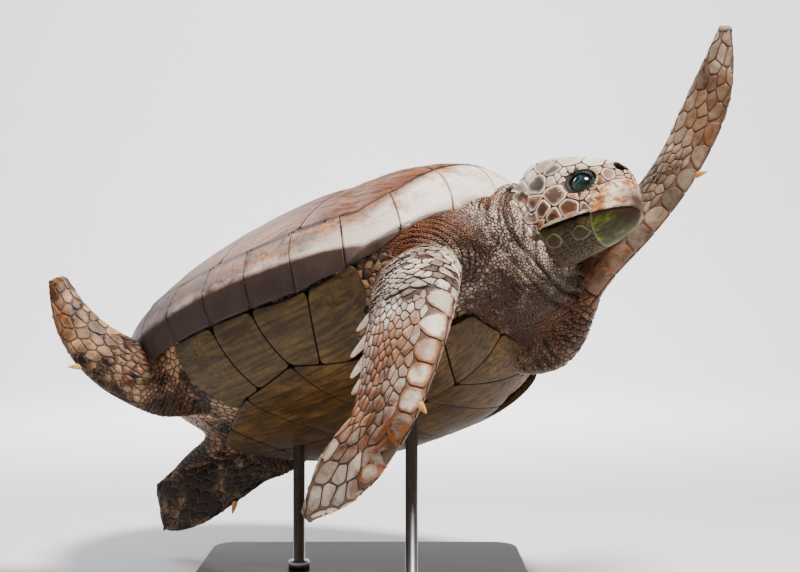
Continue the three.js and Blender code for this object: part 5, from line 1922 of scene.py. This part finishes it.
def lip(side):
    """The pale lip over the mouth: a low rounded roll from the corner of the mouth to the beak."""
    steps, around = 40, 12
    points = []
    for k in range(steps + 1):
        share = k / steps
        x = JAW_CORNER - 0.002 + (LIP_END - JAW_CORNER) * share
        start = Vector((x, LIP_OUT * side, mouth_height(x) + LIP_LIFT))
        hit, out, _, _ = HIDE_TREE.ray_cast(start, Vector((0, -side, 0)))
        full = max(0.05, min(1.0, share / 0.12) ** 0.6)
        run = Vector((1, 0, JAW_SLOPE)).normalized()
        out = (out - run * out.dot(run)).normalized()
        up = run.cross(out) * -side
        up = up if up.z > 0 else -up
        for i in range(around):
            turn = 2 * math.pi * i / around
            points.append(hit + out * (0.3 * MM + LIP_DEPTH * full * math.cos(turn)) +
                          up * (LIP_HALF * full * math.sin(turn)))
    return points, rod_faces(steps + 1, around)


LIP_END, LIP_LIFT, LIP_HALF, LIP_DEPTH, LIP_OUT = 0.601, 1.9 * MM, 1.3 * MM, 1.1 * MM, 0.088
LIP_SKIN = beak_material("lip_skin", ("6a5038", "b39a78", "ddd0ba"), 0.3, 0.35)
for side, word in ((1, "left"), (-1, "right")):
    piece = mesh_object(f"lip_{word}", *lip(side))
    outward(piece)
    settled(piece, LIP_SKIN, "head_skin")


def pale_beak():
    """Dry horn, pale with orange-brown clouds, and grey brown at the tip."""
    material = beak_material("pale_beak", ("6a4024", "a8703e", "d8c0a4", "ecdfd0"), 0.35, 0.36)
    tree, shader, axes, pale = opened(material)
    tip = ranged(tree, axes.outputs[0], 0.64, 0.668)
    below = ranged(tree, axes.outputs[2], 0.05, 0.005)
    both = maths(tree, "MULTIPLY", tip, below)
    tipped = mixed(tree, both, pale, "4a3830")
    tree.links.new(tipped, shader.inputs["Base Color"])
    return material


UPPER_BEAK = pale_beak()
LOWER_BEAK = green_beak()
for upper, name, finish in ((True, "beak_upper", UPPER_BEAK), (False, "beak_lower", LOWER_BEAK)):
    settled(horn_jaw(f"{name}_horn", upper), finish, name, name)

# ------------------------------------------------------------------------------------------------
# The claws: one blunt amber claw on the leading edge of each flipper, curved back towards the tip
# and ridged round its root where it grows from between the scales.
# ------------------------------------------------------------------------------------------------
CLAWS = {"front_right": (0.605, 1), "front_left": (0.675, 1),
         "hind_right": (0.6, -1), "hind_left": (0.59, -1)}
CLAW_LENGTH, CLAW_RADIUS, CLAW_INSIDE = 0.032, 0.0072, 0.012


def claw_shape(limb):
    along, edge = CLAWS[limb]
    spec = LIMBS[limb]
    place, run = limb_surface(spec, np.array([along]), np.array([0.0 if edge > 0 else math.pi]))
    middle = station_curve(spec["path"], np.array([along]))[0]
    run = run[0]
    across = unit(place[0] - middle)
    direction = unit(across + 0.7 * run)
    third = np.cross(direction, run)
    third /= np.linalg.norm(third)
    bend = np.cross(third, direction)
    around, rows = 20, 14
    points = []
    for row in range(rows + 1):
        t = row / rows
        radius = CLAW_RADIUS * (1 - t ** 1.7) ** 0.75 * (1 + 0.06 * math.sin(t * 22) * (1 - t)) + 1e-5
        centre = place[0] + direction * (CLAW_LENGTH * t - CLAW_INSIDE) + bend * 0.0035 * (t * t - 0.25)
        for i in range(around):
            turn = 2 * math.pi * i / around
            points.append(centre + radius * (third * math.cos(turn) * 0.82 + bend * math.sin(turn)))
    return points, rod_faces(rows + 1, around)


FLAPS = {"elbow": (0.30, 27.0), "forearm": (0.37, 30.0), "below": (0.44, 27.0), "last": (0.52, 19.0)}
FLAP_HALF, FLAP_THICK = 6.0 * MM, 1.3 * MM


def flap(limb, along, length):
    """One pointed scale that stands off the trailing edge and points down the limb."""
    turn = math.pi - 0.25
    at, run = limb_surface(LIMBS[limb], np.array([along]), np.array([turn]))
    middle, _ = limb_surface(LIMBS[limb], np.array([along, along]), np.array([0.0, math.pi]))
    run = Vector(run[0]).normalized()
    trail = Vector(middle[1] - middle[0])
    trail = (trail - run * trail.dot(run)).normalized()
    ahead = (run * 0.86 + trail * 0.5).normalized()
    flat = run.cross(trail).normalized()
    across = flat.cross(ahead).normalized()
    root = Vector(at[0]) - trail * 7 * MM - run * 7 * MM
    rows, around = 12, 14
    points = []
    for k in range(rows + 1):
        share = k / rows
        spine = root + ahead * (length * MM * share)
        half = FLAP_HALF * math.sqrt(max(0.0, 1 - share ** 1.6)) + 0.1 * MM
        thick = FLAP_THICK * (1 - 0.8 * share)
        for i in range(around):
            angle = 2 * math.pi * i / around
            points.append(spine + across * (half * math.cos(angle)) + flat * (thick * math.sin(angle)))
    edges = [3.0 * min(1.0, (rows - k // around) / 3) for k in range(len(points))]
    u, v = atlas_place(PARTS.index(limb), along, turn)
    turns = [2 * math.pi * k / around for k in range(len(points))]
    places = [(u + 0.0015 * math.cos(angle), v + 0.0015 * math.sin(angle)) for angle in turns]
    return np.array(points), rod_faces(rows + 1, around), np.array(edges), places


flaps = [flap("front_right", along, length) for along, length in FLAPS.values()]
flap_points, flap_faces, flap_edges = joined([made[:3] for made in flaps])
piece = mesh_object("elbow_flaps_right", flap_points, flap_faces)
outward(piece)
for name, value in zip(SCALE_VALUES, (flap_edges, 1.0, 0.6, 0.0, 0.45, 0.5)):
    give_floats(piece, name, value * np.ones(len(flap_points)))
uv_layer(piece, np.concatenate([np.array(made[3]) for made in flaps]))
settled(piece, LIMB_SCALES, "skin")

AMBER = beak_material("amber_claw", ("8a5a2c", "c08a4c", "d8ae78"), 0.35, 0.3)
for limb in CLAWS:
    piece = mesh_object(f"{limb}_claw", *claw_shape(limb))
    outward(piece)
    settled(piece, AMBER, "claw", f"claw_{limb}")

# ------------------------------------------------------------------------------------------------
# The stand: a black-stained wooden base with its edges eased, and two brushed steel rods that rise
# from turned collars into the belly.
# ------------------------------------------------------------------------------------------------
BASE_LENGTH, BASE_WIDTH, BASE_THICK, BASE_CORNER, BASE_EASE = 0.340, 0.270, 0.012, 0.026, 0.0022
ROD_RADIUS, COLLAR_RADIUS, COLLAR_HEIGHT = 0.006, 0.011, 0.009


def lathe(profile, x, y, around=48):
    """A turned piece with its axis upright through x, y."""
    turns = [2 * math.pi * i / around for i in range(around)]
    points = [(x + r * math.cos(turn), y + r * math.sin(turn), z) for r, z in profile for turn in turns]
    return points, rod_faces(len(profile), around)


def base_plate():
    levels = [(BASE_EASE * 0.4, 0.0), (0.0, BASE_EASE * 0.4)]
    for k in range(7):
        turn = math.pi / 2 * k / 6
        levels.append((BASE_EASE * (1 - math.cos(turn)), BASE_THICK - BASE_EASE + BASE_EASE * math.sin(turn)))
    points = []
    per_corner = 10
    for inset, z in levels:
        radius = BASE_CORNER - inset
        for quarter, (sx, sy) in enumerate(((1, 1), (-1, 1), (-1, -1), (1, -1))):
            for k in range(per_corner):
                turn = math.pi / 2 * (quarter + k / (per_corner - 1))
                points.append((sx * (BASE_LENGTH / 2 - BASE_CORNER) + radius * math.cos(turn),
                               sy * (BASE_WIDTH / 2 - BASE_CORNER) + radius * math.sin(turn), z))
    return points, rod_faces(len(levels), per_corner * 4)


def stand_material(name, dark, pale, scale, rough, metallic, strength):
    """A finish with a fine grain that runs one way."""
    material, tree, shader = new_material(name)
    place = add_node(tree, "ShaderNodeTexCoord")
    run = add_node(tree, "ShaderNodeMapping", {"Vector": place.outputs["Object"], "Scale": scale})
    grain = clouds(tree, run.outputs[0], 1.0, 7.0, 0.62, 0.3)
    tint = mixed(tree, grain, linear(dark), linear(pale))
    gloss = ranged(tree, grain, 0.0, 1.0, rough - 0.08, rough + 0.1)
    dressed(tree, shader, tint, gloss, grain, strength, 0.0003)
    shader.inputs["Metallic"].default_value = metallic
    return material


base = mesh_object("stand_base_plate", *base_plate(), smooth=False)
WOOD = stand_material("stained_wood", "141312", "2e2b28", (7.0, 90.0, 90.0), 0.46, 0.0, 0.3)
base.data.materials.append(WOOD)
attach(base, "root")
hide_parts("stand_base")
STEEL = stand_material("brushed_steel", "8d9094", "c6c8cb", (900.0, 900.0, 30.0), 0.34, 1.0, 0.15)
for end in ("front", "rear"):
    low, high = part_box(f"stand_rod_{end}")
    x, y = (low.x + high.x) / 2, (low.y + high.y) / 2
    collar = [(1.0, 0.0), (1.0, 0.8), (0.94, 0.93), (0.8, 1.0)]
    profile = [(COLLAR_RADIUS * wide, BASE_THICK + COLLAR_HEIGHT * tall) for wide, tall in collar]
    profile += [(ROD_RADIUS, BASE_THICK + COLLAR_HEIGHT), (ROD_RADIUS, high.z)]
    rod = mesh_object(f"stand_rod_{end}_turned", *lathe(profile, x, y), smooth=False)
    for polygon in rod.data.polygons:
        polygon.use_smooth = len(polygon.vertices) == 4 and abs(polygon.normal.z) < 0.5
    rod.data.materials.append(STEEL)
    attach(rod, "root")
    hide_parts(f"stand_rod_{end}")
